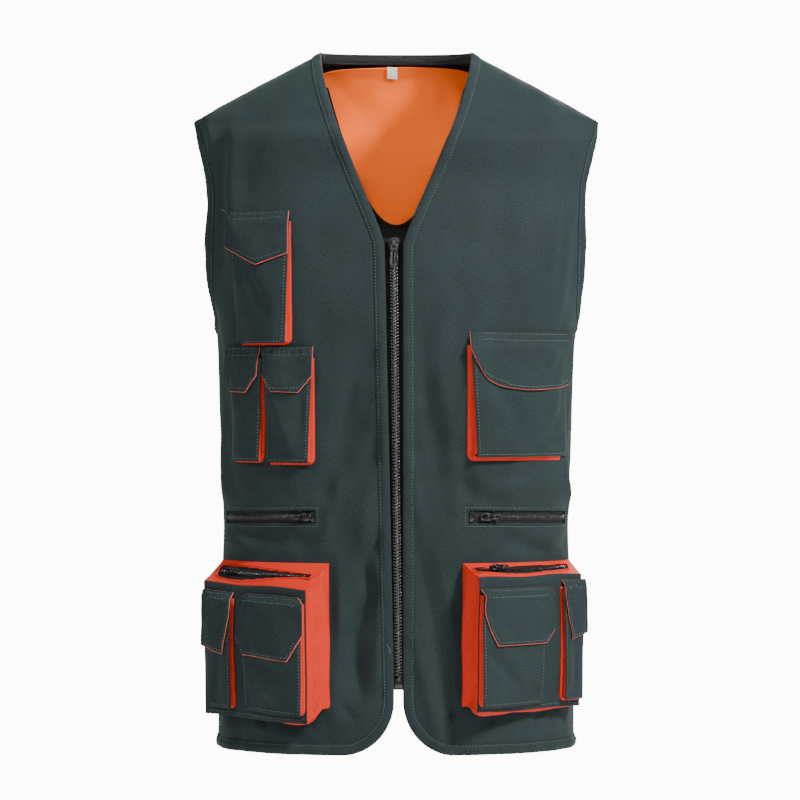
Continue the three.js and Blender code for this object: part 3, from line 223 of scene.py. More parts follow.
def foldRoom(across, down, fade):
    room = np.ones(np.broadcast(across, down).shape)
    far = np.abs(across)
    for inner, outer, top, foot in flatAreas:
        away = np.hypot(np.maximum(np.maximum(inner - far, far - outer), 0),
                        np.maximum(np.maximum(top - down, down - foot), 0))
        room = np.minimum(room, ease(away, 0, fade))
    return room


def ridges(table, across, down):
    height = np.zeros(np.broadcast(across, down).shape)
    for side, a0, d0, a1, d1, wide, high in table:
        run = np.array([a1 - a0, d1 - d0], float)
        here = [np.abs(across) - a0, down - d0]
        along = np.clip((here[0] * run[0] + here[1] * run[1]) / (run @ run), 0, 1)
        away = np.hypot(here[0] - along * run[0], here[1] - along * run[1]) / wide
        height += (np.sign(across) == side) * high * np.sin(np.pi * mix(0.12, 0.88, along)) * np.exp(-away * away)
    return height


def puckerAt(across, down):  # little gathers where bindings and seams draw the cloth in
    hem = np.exp(-np.maximum(long - down, 0) / 16) * np.sin(across / 5.2 + 1.7 * np.sin(across / 23))
    edge = np.exp(-np.maximum(np.abs(across) - 26, 0) / 13) * np.sin(down / 6.1 + 2.2 * np.sin(down / 31) + across / 17)
    return (relief["hemPucker"] * hem * ease(np.abs(across), 30, 60)
            + relief["edgePucker"] * edge * ease(down, 200, 260))


def reliefAt(facing, across, down):
    quiet = ease(girthAt(facing, down) - np.abs(across), 0, relief["seamQuiet"])
    if facing > 0:
        return (ridges(folds["back"], across, down) + relief["back"] * noiseAt(across, down, 46, 5)) * quiet
    height = relief["folds"] * ridges(folds["front"], across, down) * foldRoom(across, down, 24)
    height = height + relief["creases"] * ridges(folds["creases"], across, down) * foldRoom(across, down, 12)
    height = height + relief["broad"] * noiseAt(across, down, 38) * foldRoom(across, down, 14)
    # long shallow drapes that run from the sides down towards the zip, and upright ones above them
    slanted = across + np.sign(across) * relief["lean"] * down
    lower, upper = noiseAt(slanted, down * 0.24, 17, 6), noiseAt(across, down * 0.2, 19, 9)
    free = foldRoom(across, down, 18)
    height = height + relief["slanted"] * lower * free * ease(down, 150, 330)
    height = height + relief["upper"] * upper * free * ease(330 - down, 0, 150)
    fine = relief["fine"] * noiseAt(across, down, 13, 2) + puckerAt(across, down)
    return (height + fine * foldRoom(across, down, 5)) * quiet


def pointOn(facing, across, down, off=0.0, folded=True):
    across, down, off = np.broadcast_arrays(*(np.asarray(a, float) for a in (across, down, off)))
    half, depth = halfAt(down), depthAt[facing](down)
    turn = turnAt(facing, across, down)
    x = half * np.sin(turn) ** bend
    y = depth * np.maximum(np.cos(turn), 0) ** bend
    step = 0.5
    halfSlope = (halfAt(down + step) - halfAt(down - step)) / (2 * step)
    depthSlope = (depthAt[facing](down + step) - depthAt[facing](down - step)) / (2 * step)
    xShare, yShare = (x / half) ** shell["power"], (y / depth) ** shell["power"]
    side = np.sign(across)
    normal = np.stack([side * xShare / np.maximum(x, 1e-6), facing * yShare / np.maximum(y, 1e-6),
                       xShare * halfSlope / half + yShare * depthSlope / depth], axis=-1)
    normal /= np.linalg.norm(normal, axis=-1, keepdims=True)
    lift = off + (reliefAt(facing, across, down) if folded else 0)
    flat = np.stack([side * x, facing * (y + shell["seamGap"] / 2), -down], axis=-1)
    return flat + normal * lift[..., None]


# Edges of the panels, in places across and down
armpit = shell["shoulderDrop"] + shell["armholeDeep"]
lowerRows, upperRows, frontColumns, backColumns = 9, 7, 10, 20
allRows = lowerRows + upperRows
frontShares = np.array([0, 0.06, 0.12, 0.18, 0.25, 0.34, 0.47, 0.6, 0.74, 0.87, 1])


def zipShare(down):
    return clampShare(shell["vDepth"], shell["zipEnd"], down)


def zipX(down):
    return mix(shell["zipTopX"], shell["zipFootX"], zipShare(down))


def frontEdge(side, down):
    inner = side * zipX(down) + mix(shell["openTop"], shell["openFoot"], zipShare(down)) + shell["bindRoom"]
    rise = clampShare(shell["neckDrop"], shell["vDepth"], down)
    x = mix(inner, shell["neckHalf"], (1 - rise ** 1.5) ** 1.2)
    sink = np.clip((down - long + shell["cornerHigh"]) / shell["cornerHigh"], 0, 1)
    x = np.where(sink > 0, inner + shell["cornerWide"] * (1 - np.sqrt(1 - sink * sink)), x)
    return np.abs(acrossOfX(-1, x, down)), down


def armholeEdge(facing, far, turn):
    down = mix(armpit, shell["shoulderDrop"], (1 - np.cos(turn)) / 2)
    return acrossOfY(facing, far * np.sin(turn), down), down


def shoulderSeam(facing, share):
    down = mix(shell["neckDrop"], shell["shoulderDrop"], share)
    return girthAt(facing, down), down


def backNeck(share):
    return shell["neckDrop"] + shell["backNeckDip"] * (1 - np.clip(share * share, 0, 1))


def backHem(share):
    return long - shell["hemRise"] * np.cos(share * np.pi / 2) ** 2


def outerEdge(facing, far, row):
    down = mix(long, armpit, np.clip(row / lowerRows, 0, 1))
    seam = (girthAt(facing, down), down)
    arm = armholeEdge(facing, far, np.clip((row - lowerRows) / upperRows, 0, 1) * np.pi)
    return [np.where(row <= lowerRows, a, b) for a, b in zip(seam, arm)]


def coons(bottom, top, left, right, k, row, u):  # a patch spanned by four edges
    v = row / allRows
    zero = np.zeros_like(np.asarray(k, float))
    ends = [left(zero), left(zero + allRows), right(zero), right(zero + allRows)]
    b, t, l, r = bottom(k), top(k), left(row), right(row)
    places = []
    for key in (0, 1):
        corners = ((1 - u) * (1 - v) * ends[0][key] + u * (1 - v) * ends[2][key]
                   + (1 - u) * v * ends[1][key] + u * v * ends[3][key])
        places.append((1 - v) * b[key] + v * t[key] + (1 - u) * l[key] + u * r[key] - corners)
    return places


def frontShare(k):
    return np.interp(k, np.arange(len(frontShares)), frontShares)


def frontPlaces(side, k, row):  # k runs from the opening to the side, row from the hem up
    cornerTurn, cornerColumns, crowd = np.pi / 4, 3, 1.25
    cornerMid = long - shell["cornerHigh"] * (1 - math.sin(cornerTurn))
    level = armpit - 9

    def inner(r):
        low = mix(cornerMid, level, np.clip(r / lowerRows, 0, 1) ** crowd)
        high = mix(level, shell["neckDrop"], 1 - (1 - np.clip((r - lowerRows) / upperRows, 0, 1)) ** crowd)
        return frontEdge(side, np.where(r <= lowerRows, low, high))

    def hem(c):
        turn = mix(cornerTurn, np.pi / 2, np.clip(c / cornerColumns, 0, 1))
        near = frontEdge(side, long - shell["cornerHigh"] * (1 - np.sin(turn)))
        last = frontEdge(side, long)[0]
        along = clampShare(frontShares[cornerColumns], 1, frontShare(c))
        return (np.where(c > cornerColumns, mix(last, girthAt(-1, long), along), near[0]),
                np.where(c > cornerColumns, long, near[1]))
    return coons(hem, lambda c: shoulderSeam(-1, frontShare(c)), inner,
                 lambda r: outerEdge(-1, shell["armFront"], r), k, row, frontShare(k))


def backPlaces(k, row):  # k runs from the wearer's right to the left
    seamColumns = 5

    def hem(c):
        share = 2 * c / backColumns - 1
        down = backHem(share)
        return share * girthAt(1, down), down

    def top(c):
        side = np.where(c < backColumns / 2, -1.0, 1.0)
        fromTip = np.minimum(c, backColumns - c)
        seam = shoulderSeam(1, 1 - np.clip(fromTip / seamColumns, 0, 1))
        share = side * (backColumns / 2 - fromTip) / (backColumns / 2 - seamColumns)
        down = backNeck(share)
        return (np.where(fromTip <= seamColumns, side * seam[0], share * girthAt(1, down)),
                np.where(fromTip <= seamColumns, seam[1], down))

    def left(r):
        across, down = outerEdge(1, shell["armBack"], r)
        return -across, down
    return coons(hem, top, left, lambda r: outerEdge(1, shell["armBack"], r), k, row, k / backColumns)


# Mesh helpers. Points are in millimetres, and a grid is [columns, rows, 3].
made = {}
sides = [(-1, "right"), (1, "left")]


def linked(name, data):
    thing = bpy.data.objects.new(name, data)
    bpy.context.scene.collection.objects.link(thing)
    return thing


def crossed(a, b):
    return np.meshgrid(a, b, indexing="ij")


def pair(a, b):
    return np.stack(np.broadcast_arrays(a, b), axis=-1)


def gridFaces(columns, rows, ring=False, keep=None, start=0):
    i, j = crossed(np.arange(columns if ring else columns - 1), np.arange(rows - 1))
    at = lambda a, b: start + (a % columns) * rows + b
    quads = np.stack([at(i, j), at(i + 1, j), at(i + 1, j + 1), at(i, j + 1)], axis=-1)
    return quads[keep] if keep is not None else quads.reshape(-1, 4)


def addMesh(name, points, faces, finish, slot=None, uv=None, body="root", nodes=(), sharp=45, under=None,
            faceKinds=None):
    mesh = bpy.data.meshes.new(name)
    mesh.from_pydata((np.asarray(points) / 1000).tolist(), [], [list(map(int, f)) for f in faces])
    mesh.materials.append(finishes[finish])
    if under:
        mesh.materials.append(finishes[under])
        mesh.polygons.foreach_set("material_index", np.asarray(faceKinds, np.int32))
    if uv is not None:
        layer = mesh.uv_layers.new(name="cloth")
        index = np.zeros(len(mesh.loops), np.int32)
        mesh.loops.foreach_get("vertex_index", index)
        layer.data.foreach_set("uv", (np.asarray(uv)[index] / 1000).ravel())
    mesh.shade_smooth()
    mesh.set_sharp_from_angle(angle=math.radians(sharp))
    mesh.validate()
    piece = linked(name, mesh)
    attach(piece, body)
    slot or finish
    if nodes:
        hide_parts(*nodes)
    made[name] = piece
    return piece


# Closed cloth between two grids. The rim also closes what keep leaves out.
def addLayer(name, upper, lower, finish, uv=None, ring=False, keep=None, under=None, **more):
    columns, rows = upper.shape[:2]
    count = columns * rows
    top = gridFaces(columns, rows, ring, keep)
    low = gridFaces(columns, rows, ring, keep, count)[:, ::-1]
    ways = np.concatenate([top[:, [n, (n + 1) % 4]] for n in range(4)])
    keys = ways.min(axis=1) * 2 * count + ways.max(axis=1)
    _, first, uses = np.unique(keys, return_index=True, return_counts=True)
    rim = ways[first[uses == 1]]
    rim = np.stack([rim[:, 1], rim[:, 0], rim[:, 0] + count, rim[:, 1] + count], axis=-1)
    faces = np.concatenate([top, low, rim])
    points = np.concatenate([upper.reshape(-1, 3), lower.reshape(-1, 3)])
    a, b, c, d = (points[faces[:, n]] for n in range(4))
    volume = (a * np.cross(b, c)).sum() + (a * np.cross(c, d)).sum()
    if volume < 0:
        faces = faces[:, ::-1]
    kinds = np.concatenate([np.zeros(len(top)), np.ones(len(low)), np.zeros(len(rim))])
    flat = None if uv is None else np.concatenate([uv.reshape(-1, 2)] * 2)
    return addMesh(name, points, faces, finish, uv=flat, under=under, faceKinds=kinds, **more)


def lengthsAlong(line):
    return np.concatenate([[0], np.cumsum(np.linalg.norm(np.diff(line, axis=0), axis=1))])


def resample(line, step, *others):
    run = lengthsAlong(line)
    count = max(int(run[-1] / step), 1)
    at = (np.arange(count) + 0.5) * run[-1] / count
    return [np.stack([np.interp(at, run, a[:, n]) for n in range(3)], axis=-1) for a in (line, *others)]


def unit(vectors):
    return vectors / np.maximum(np.linalg.norm(vectors, axis=-1, keepdims=True), 1e-9)


def normalsOf(grid):
    across, along = np.gradient(grid, axis=0), np.gradient(grid, axis=1)
    return unit(np.cross(across, along))


def outwardAt(facing, across, down):
    return unit(pointOn(facing, across, down, 1) - pointOn(facing, across, down, -1))


thread = {"pitch": 3.1, "length": 2.1, "wide": 0.55, "high": 0.3, "lift": 0.05, "sunk": 0.15, "jitter": 0.12,
          "faces": np.array([[0, 2, 4], [2, 1, 4], [1, 3, 4], [3, 0, 4]])}
stitchRows = {}


def sew(group, line, normals):  # a row of stitches along a line on the cloth
    if len(line) < 2:
        return
    centre, out = resample(np.asarray(line, float), thread["pitch"], np.asarray(normals, float))
    run = unit(np.gradient(centre, axis=0)) if len(centre) > 1 else unit(np.asarray([line[-1] - line[0]]))
    out = unit(out)
    across = unit(np.cross(run, out))
    jitter = np.resize(lattice, len(centre))[:, None] * thread["jitter"]
    centre = centre + across * jitter + out * thread["lift"]
    ahead, aside, sunk = run * (thread["length"] / 2), across * (thread["wide"] / 2), out * thread["sunk"]
    corners = [centre - ahead - sunk, centre + ahead - sunk, centre + aside, centre - aside,
               centre + out * thread["high"]]
    stitchRows.setdefault(group, []).append(np.stack(corners, axis=1))


# Materials. The shared effects are node groups that read the cloth's own coordinates.
def nodeGroup(name, sockets):
    tree = bpy.data.node_groups.new(name, "ShaderNodeTree")
    for label, side, value in sockets:
        socket = tree.interface.new_socket(name=label, in_out=side, socket_type="NodeSocketFloat")
        if value is not None:
            socket.default_value = value
    return tree, tree.nodes.new("NodeGroupInput"), tree.nodes.new("NodeGroupOutput")


def feed(tree, target, inputs):
    for label, source in inputs.items():
        if isinstance(source, bpy.types.NodeSocket):
            tree.links.new(source, target.inputs[label])
        else:
            target.inputs[label].default_value = source


def node(tree, kind, inputs=None, **settings):
    fresh = tree.nodes.new(kind)
    for key, value in settings.items():
        setattr(fresh, key, value)
    feed(tree, fresh, inputs or {})
    return fresh


def maths(tree, operation, a, b=0.0, c=0.0):
    return node(tree, "ShaderNodeMath", {0: a, 1: b, 2: c}, operation=operation).outputs[0]


def noiseNode(tree, place, scale, detail, rough=0.5):
    inputs = {"Vector": place, "Scale": scale, "Detail": detail, "Roughness": rough}
    return node(tree, "ShaderNodeTexNoise", inputs).outputs["Fac"]


def twillGroup():  # diagonal ribs of a twill, and its single threads
    tree, given, out = nodeGroup("twill", [("Thread", "INPUT", 0.6), ("Uneven", "INPUT", 0.3),
                                           ("Height", "OUTPUT", None), ("Shade", "OUTPUT", None)])
    place = node(tree, "ShaderNodeUVMap").outputs[0]
    split = node(tree, "ShaderNodeSeparateXYZ", {0: place})
    scale = maths(tree, "DIVIDE", 1000.0, given.outputs["Thread"])
    u, v = (maths(tree, "MULTIPLY", split.outputs[n], scale) for n in (0, 1))
    uneven = maths(tree, "SUBTRACT", noiseNode(tree, place, 420.0, 2.0), 0.5)
    uneven = maths(tree, "MULTIPLY", uneven, given.outputs["Uneven"])
    slant = maths(tree, "ADD", maths(tree, "ADD", u, v), maths(tree, "MULTIPLY", uneven, 6.0))
    rib = maths(tree, "SINE", maths(tree, "MULTIPLY", slant, 3.1416))
    single = maths(tree, "SINE", maths(tree, "MULTIPLY", maths(tree, "SUBTRACT", u, v), 6.2832))
    high = maths(tree, "ADD", maths(tree, "MULTIPLY", rib, 0.35), maths(tree, "MULTIPLY", single, 0.15))
    high = maths(tree, "ADD", high, 0.5)
    fleck = maths(tree, "MULTIPLY", noiseNode(tree, place, 560.0, 3.0, 0.8), 0.6)
    feed(tree, out, {"Height": high, "Shade": maths(tree, "MULTIPLY_ADD", high, 0.4, fleck)})
    return tree


def wearGroup():  # broad patches where cloth has faded, and specks of dust and lint
    tree, given, out = nodeGroup("wear", [("Patch", "INPUT", 14.0), ("Specks", "INPUT", 0.5),
                                          ("Fade", "OUTPUT", None), ("Lint", "OUTPUT", None)])
    place = node(tree, "ShaderNodeTexCoord").outputs["Object"]
    low = maths(tree, "SUBTRACT", 0.86, maths(tree, "MULTIPLY", given.outputs["Specks"], 0.12))
    feed(tree, out, {"Fade": noiseNode(tree, place, given.outputs["Patch"], 4.0),
                     "Lint": maths(tree, "GREATER_THAN", noiseNode(tree, place, 1400.0, 2.0), low)})
    return tree


effects = {"twill": twillGroup(), "wear": wearGroup()}
clothKeys = ("colour", "light", "rough", "thread", "relief", "sheen", "sheenTint", "specks", "fade")
clothLooks = {
    "cloth": ((0.0014, 0.0036, 0.0042), (0.014, 0.029, 0.0308), 0.82, 0.55, 0.2, 0.08, (0.55, 0.75, 0.7), 0.35, 0.55),
    "lining": ((0.84, 0.095, 0.0), (0.92, 0.14, 0.001), 0.75, 0.4, 0.12, 0.05, (1, 0.7, 0.4), 0.1, 0.5),
    "contrast": ((0.42, 0.008, 0.0), (0.6, 0.018, 0.0), 0.72, 0.5, 0.22, 0.05, (1, 0.6, 0.4), 0.15, 0.5),
    "edging": ((0.5, 0.05, 0.03), (0.66, 0.13, 0.09), 0.75, 0.5, 0.2, 0.2, (1, 0.7, 0.6), 0.2, 0.6),
    # near black all over: the inner faces of the front and back panels
    "nearBlackInside": ((0.0018, 0.0018, 0.002), (0.0045, 0.0045, 0.005), 0.7, 0.4, 0.15, 0.02, (0.6, 0.6, 0.6), 0.2, 0.5),
    "tape": ((0.0025, 0.0025, 0.003), (0.01, 0.01, 0.011), 0.78, 0.9, 0.5, 0.02, (0.6, 0.6, 0.65), 0.3, 0.5),
    "label": ((0.8, 0.8, 0.78), (0.92, 0.92, 0.9), 0.55, 0.35, 0.2, 0.3, (1, 1, 1), 0.1, 0.4),
    "thread": ((0.02, 0.036, 0.036), (0.2, 0.25, 0.24), 0.6, 0.3, 0.2, 0.3, (1, 1, 1), 0.1, 1.0),
}
hardKeys = ("colour", "light", "rough", "metal", "coat")
hardLooks = {"tooth": ((0.003, 0.003, 0.0032), (0.01, 0.01, 0.011), 0.2, 0.0, 0.6),
             "metal": ((0.018, 0.018, 0.019), (0.1, 0.1, 0.104), 0.24, 0.85, 0.3)}
finishes = {}


def newFinish(name):
    finishes[name] = bpy.data.materials.new(name)
    finishes[name].use_nodes = True
    tree = finishes[name].node_tree
    return tree, tree.nodes["Principled BSDF"], node(tree, "ShaderNodeGroup", node_tree=effects["wear"])


def blend(tree, amount, a, b, **settings):
    return node(tree, "ShaderNodeMix", {0: amount, 6: a, 7: b}, data_type="RGBA", **settings).outputs[2]


def bumpOf(tree, height, strength, distance):
    inputs = {"Height": height, "Strength": strength, "Distance": distance}
    return node(tree, "ShaderNodeBump", inputs).outputs["Normal"]


def clothFinish(name, look):
    tree, shader, wear = newFinish(name)
    twill = node(tree, "ShaderNodeGroup", node_tree=effects["twill"])
    twill.inputs["Thread"].default_value = look["thread"]
    wear.inputs["Specks"].default_value = look["specks"]
    faded = maths(tree, "MULTIPLY", maths(tree, "SUBTRACT", wear.outputs["Fade"], 0.35), look["fade"])
    grain = maths(tree, "MULTIPLY", maths(tree, "SUBTRACT", twill.outputs["Shade"], 0.38), 2.9)
    colour = blend(tree, maths(tree, "ADD", grain, faded), (*look["colour"], 1), (*look["light"], 1),
                   clamp_factor=True)
    linty = maths(tree, "MULTIPLY", wear.outputs["Lint"], 0.35)
    rough = maths(tree, "MULTIPLY_ADD", twill.outputs["Shade"], -0.12, look["rough"] + 0.06)
    feed(tree, shader, {
        "Base Color": blend(tree, linty, colour, (0.6, 0.62, 0.6, 1)), "Roughness": rough,
        "Normal": bumpOf(tree, twill.outputs["Height"], look["relief"], 0.0004), "Sheen Weight": look["sheen"],
        "Sheen Roughness": 0.5, "Sheen Tint": (*look["sheenTint"], 1), "Specular IOR Level": 0.25})


def hardFinish(name, look):
    tree, shader, wear = newFinish(name)
    wear.inputs["Patch"].default_value = 260.0
    fade = wear.outputs["Fade"]
    scuffed = node(tree, "ShaderNodeMapRange", {0: fade, 1: 0.45, 2: 0.7, 3: 0.0, 4: 1.0}).outputs[0]
    scuffed = maths(tree, "MULTIPLY", scuffed, 0.8)
    feed(tree, shader, {
        "Base Color": blend(tree, scuffed, (*look["colour"], 1), (*look["light"], 1)),
        "Roughness": maths(tree, "MULTIPLY_ADD", fade, 0.25, look["rough"] - 0.08),
        "Normal": bumpOf(tree, fade, 0.25, 0.0002), "Metallic": look["metal"],
        "Coat Weight": look["coat"], "Coat Roughness": 0.12})


for name, look in clothLooks.items():
    clothFinish(name, dict(zip(clothKeys, look)))
for name, look in hardLooks.items():
    hardFinish(name, dict(zip(hardKeys, look)))
print("materials made")


# Fronts and back. The slits are left open for their zips, and the left one reaches nearer to the front zip.
slit = {"inner": 0.3391 * reach, "outer": 0.8522 * reach, "down": 0.6712 * long, "slope": 2.5, "high": 14,
        "leftLonger": 8.0, "slider": 0.085, "sliderUp": 1.0, "stop": 0.028, "snapAcross": 2, "snapDown": 1.6,
        "trim": 0.8, "tapeMore": 3, "tapeOff": -1.6, "chainAfter": 0.035, "chainTo": 0.985, "corner": 1.2,
        "stitchOut": 4, "stitchCorner": 1.5}
panels = {"columns": 130, "rows": 220, "backColumns": 170, "backRows": 150}


def slitDown(across):
    return slit["down"] + slit["slope"] * ((across - slit["inner"]) / (slit["outer"] - slit["inner"]) - 0.5)


def slitInner(side):
    return slit["inner"] - (slit["leftLonger"] if side > 0 else 0.0)


def inSlit(side, across, down):
    return ((across > slitInner(side) + slit["trim"]) & (across < slit["outer"] - slit["trim"])
            & (np.abs(down - slitDown(across)) < slit["high"] / 2 - slit["trim"]))


for side, which in sides:
    k, row = crossed(np.linspace(0, frontColumns, panels["columns"]), np.linspace(0, allRows, panels["rows"]))
    across, down = frontPlaces(side, k, row)
    # the nearest grid lines are drawn on to the slit's edges, so that its opening is clean
    near = slitDown(across)
    for edge in (-1, 1):
        gap = near + edge * slit["high"] / 2 - down
        inside = (across > slitInner(side) - slit["snapAcross"]) & (across < slit["outer"] + slit["snapAcross"])
        down = down + np.where(inside & (np.abs(gap) < slit["snapDown"]), gap, 0)
    middle = lambda a: (a[:-1, :-1] + a[1:, :-1] + a[:-1, 1:] + a[1:, 1:]) / 4
    keep = ~inSlit(side, middle(across), middle(down))
    grid = [pointOn(-1, side * across, down, off) for off in (0.0, -shell["wall"])]
    # the panel's inner face takes the near-black finish
    panel = addLayer(f"front_{which}_cloth", *grid, "cloth", uv=pair(side * across, -down), keep=keep,
                     under="nearBlackInside", nodes=[f"front_{which}"])

k, row = crossed(np.linspace(0, backColumns, panels["backColumns"]), np.linspace(0, allRows, panels["backRows"]))
across, down = backPlaces(k, row)
grid = [pointOn(1, across, down, off) for off in (0.0, -shell["wall"])]
# the back's inner face, seen below the facing, takes the near-black finish
panel = addLayer("back_panel_cloth", *grid, "cloth", uv=pair(across, -down), under="nearBlackInside",
                 nodes=["back_panel"])
print("shell made")


# Bindings, folded round the panels' edges and topstitched
binding = {"puff": 0.55, "stitchAt": 7.4, "stitchUp": 0.85, "cloth": 0.8, "sideSteps": 250, "hemSteps": 170,
           "armSteps": 90, "neckSteps": 120, "backHemSteps": 240}


def bindingProfile(thin):
    wall = shell["wall"] / 2
    half = wall + 1.45 - thin
    leg = [(9.0, wall + 0.35 - thin * 0.4), (8.4, wall + 1.05 - thin), (7.4, wall + 0.85 - thin), (6.4, half),
           (4.4, half + binding["puff"]), (2.2, half + binding["puff"]), (0.6, half + 0.2)]
    turn = [(-math.sin(a) * (half + 0.1) * 0.75, math.cos(a) * (half + 0.2))
            for a in np.linspace(0.35, math.pi - 0.35, 7)]
    return np.array(leg + turn + [(d, -h) for d, h in leg[::-1]])


def bindingAlong(name, line, finish="cloth", ring=False):
    rim, inward, out, spread = line
    profiles = [bindingProfile(0), bindingProfile(binding["cloth"])]
    run = lengthsAlong(rim)
    puff = 1 + 0.18 * noiseAt(run, run * 0, 17, 3) + 0.10 * noiseAt(run, run * 0, 5, 4)
    grids = []
    for profile in profiles:
        d, h = profile[:, 0], profile[:, 1]
        level = np.where(d > 5, 1, puff[:, None]) * h[None, :]
        grids.append(spread(np.maximum(d, 0.0)) + inward[:, None] * np.minimum(d, 0)[None, :, None]
                     + out[:, None] * level[..., None])
    uv = pair(run[:, None], np.cumsum(np.hypot(*np.gradient(profiles[0], axis=0).T))[None, :])
    addLayer(name + "_cloth", *grids, finish, uv=uv, ring=ring, nodes=[name], sharp=60)
    seat = spread(np.array([binding["stitchAt"]]))[:, 0] + out * (shell["wall"] / 2 + binding["stitchUp"])
    sew("bindings", seat, out)


def rimOnPlaces(facing, side, across, down, inside):  # a rim whose binding follows the panel
    run = pair(np.gradient(across), np.gradient(down))
    turned = unit(pair(-run[:, 1], run[:, 0]))
    towards = inside - pair(across, down)
    turned *= np.sign((turned * towards).sum(axis=1, keepdims=True))
    mid = -shell["wall"] / 2

    def spread(d):
        return pointOn(facing, side * (across[:, None] + turned[:, :1] * d), down[:, None] + turned[:, 1:] * d, mid)
    step = spread(np.array([0.0, 1.5]))
    return (pointOn(facing, side * across, down, mid), unit(step[:, 1] - step[:, 0]),
            outwardAt(facing, side * across, down), spread)


def rimInSpace(rim, out, inside):  # a rim whose binding hangs in from it
    inward = unit(np.cross(out, unit(np.gradient(rim, axis=0))))
    inward *= np.sign((inward * (inside - rim)).sum(axis=1, keepdims=True))

    def spread(d):
        sag = d[None, :, None] ** 2 / 260
        return rim[:, None] + inward[:, None] * d[None, :, None] - out[:, None] * sag
    return rim, inward, out, spread


for side, which in sides:
    rows = np.concatenate([np.linspace(allRows, 0.05, binding["sideSteps"]), np.zeros(binding["hemSteps"])])
    columns = np.concatenate([np.zeros(binding["sideSteps"] + 1),
                              np.linspace(0.05, frontColumns, binding["hemSteps"] - 1)])
    across, down = frontPlaces(side, columns, rows)
    inside = pair(100.0, np.clip(down, 60, 600))
    bindingAlong(f"edge_binding_{which}", rimOnPlaces(-1, side, across, down, inside))

    turn = np.linspace(0, np.pi, binding["armSteps"])
    halves = []
    for facing, far, order in ((-1, shell["armFront"], 1), (1, shell["armBack"], -1)):
        a, b = armholeEdge(facing, far, turn[::order])
        away = pair(a - 60, b + (b - armpit + shell["armholeDeep"] / 2) * 1.2)
        halves.append(rimOnPlaces(facing, side, a, b, away))
    rim, inward, out = (np.concatenate([half[n][:-1] for half in halves]) for n in range(3))
    for _ in range(5):
        out, inward = (unit(v + np.roll(v, 1, axis=0) + np.roll(v, -1, axis=0)) for v in (out, inward))

    def bothSpread(d):
        return np.concatenate([half[3](d)[:-1] for half in halves])
    bindingAlong(f"armhole_binding_{which}", (rim, inward, out, bothSpread), ring=True)

share = np.linspace(-1, 1, binding["neckSteps"])
down = backNeck(share)
across = share * girthAt(1, down) * 0.985
rim = pointOn(1, across, down, -shell["wall"] / 2)
bindingAlong("neck_binding", rimInSpace(rim, outwardAt(1, across, down), rim + [0, 4, -30]), "tape")
share = np.linspace(-1, 1, binding["backHemSteps"])
down = backHem(share)
bindingAlong("hem_binding_back", rimOnPlaces(1, 1, share * girthAt(1, down), down, pair(share * 200, 400.0)))
print("bindings made")

# Half-moon facing inside the back, and the bare label under the neck binding
moon = {"half": 80, "deep": 168, "off": -4.9, "cloth": 0.9, "top": 7.5, "cornerDrop": 5, "least": 14}
label = {"half": 5, "long": 11, "across": -4, "down": 6.5, "off": -7.0, "cloth": 0.35}
share = np.linspace(-0.95, 0.95, 90)[:, None]
step = np.linspace(0, 1, 70)[None, :]
x = share * moon["half"] + 0 * step
foot = moon["deep"] * (1 - np.abs(x / moon["half"]) ** 2) ** 1.18
top = backNeck(share) + moon["top"] + moon["cornerDrop"] * np.abs(share) ** 8
down = mix(top, np.maximum(foot, top + moon["least"]), step)
wave = 0.8 * noiseAt(x, down, 30, 8) + 0.5 * noiseAt(x, down, 12, 9)
across = acrossOfX(1, x, down)
grid = [pointOn(1, across, down, moon["off"] + wave * ease(step, 0, 0.15) - thick) for thick in (0, moon["cloth"])]
piece = addLayer("neck_facing_cloth", *grid, "lining", uv=pair(x, -down), nodes=["neck_facing"])
sew("facing", grid[1][2:-2, -2], -normalsOf(grid[1])[2:-2, -2])

u, v = crossed(np.linspace(-label["half"], label["half"], 10), np.linspace(0, label["long"], 10))
curl = 0.5 * np.sin(v / label["long"] * 2.4) + 0.25 * np.sin(u / 2)
grid = [pointOn(1, u + label["across"], label["down"] + v + 0.04 * u, label["off"] - curl - thick, folded=False)
        for thick in (0, label["cloth"])]
addLayer("size_label_cloth", *grid, "label", uv=pair(u, -v), nodes=["size_label"])


# Front zip: tapes, moulded teeth at their real pitch, box, slider and pull
zipper = {"tapeWide": 13, "tapeInner": 1.6, "tapeOff": -5.1, "tapeThick": 0.9, "pitch": 3.1, "face": -0.6,
          "toothAt": 1.1, "toothSunk": 1.3, "tooth": (1.75, 5.2, 2.5), "boxUp": 4.5}


def atX(x, down, off):
    return pointOn(-1, acrossOfX(-1, x, down), down, off)


def bevelled(piece, wide, segments=1):
    modifier = piece.modifiers.new("softened edges", "BEVEL")
    modifier.width, modifier.segments, modifier.limit_method = wide / 1000, segments, "ANGLE"
    modifier.angle_limit = math.radians(35)
    shown = bpy.context.evaluated_depsgraph_get()
    mesh = bpy.data.meshes.new_from_object(piece.evaluated_get(shown))
    piece.modifiers.clear()
    piece.data = mesh
    mesh.set_sharp_from_angle(angle=math.radians(50))


def addBlocks(name, centres, run, side, out, size, nodes, taper=0.6):  # a row of moulded teeth
    a, b, c = (s / 2 for s in size)
    shape = []
    for x, s in ((-b, 1.0), (b * 0.25, 1.0), (b, taper)):
        for z in (-c, c):
            for y in (-a * s, a * s):
                shape.append((y, x, z * (1 if x < b else 0.8)))
    shape = np.array(shape)
    points = (centres[:, None] + run[:, None] * shape[None, :, :1] + side[:, None] * shape[None, :, 1:2]
              + out[:, None] * shape[None, :, 2:])
    quads = [(0, 1, 3, 2), (8, 10, 11, 9)]
    for s in (0, 4):
        quads += [(s, s + 4, s + 5, s + 1), (s + 2, s + 3, s + 7, s + 6), (s, s + 2, s + 6, s + 4),
                  (s + 1, s + 5, s + 7, s + 3)]
    faces = (np.arange(len(centres))[:, None, None] * len(shape) + np.array(quads)).reshape(-1, 4)
    bevelled(addMesh(name, points.reshape(-1, 3), faces, "tooth", nodes=nodes, sharp=30), min(size) * 0.16)


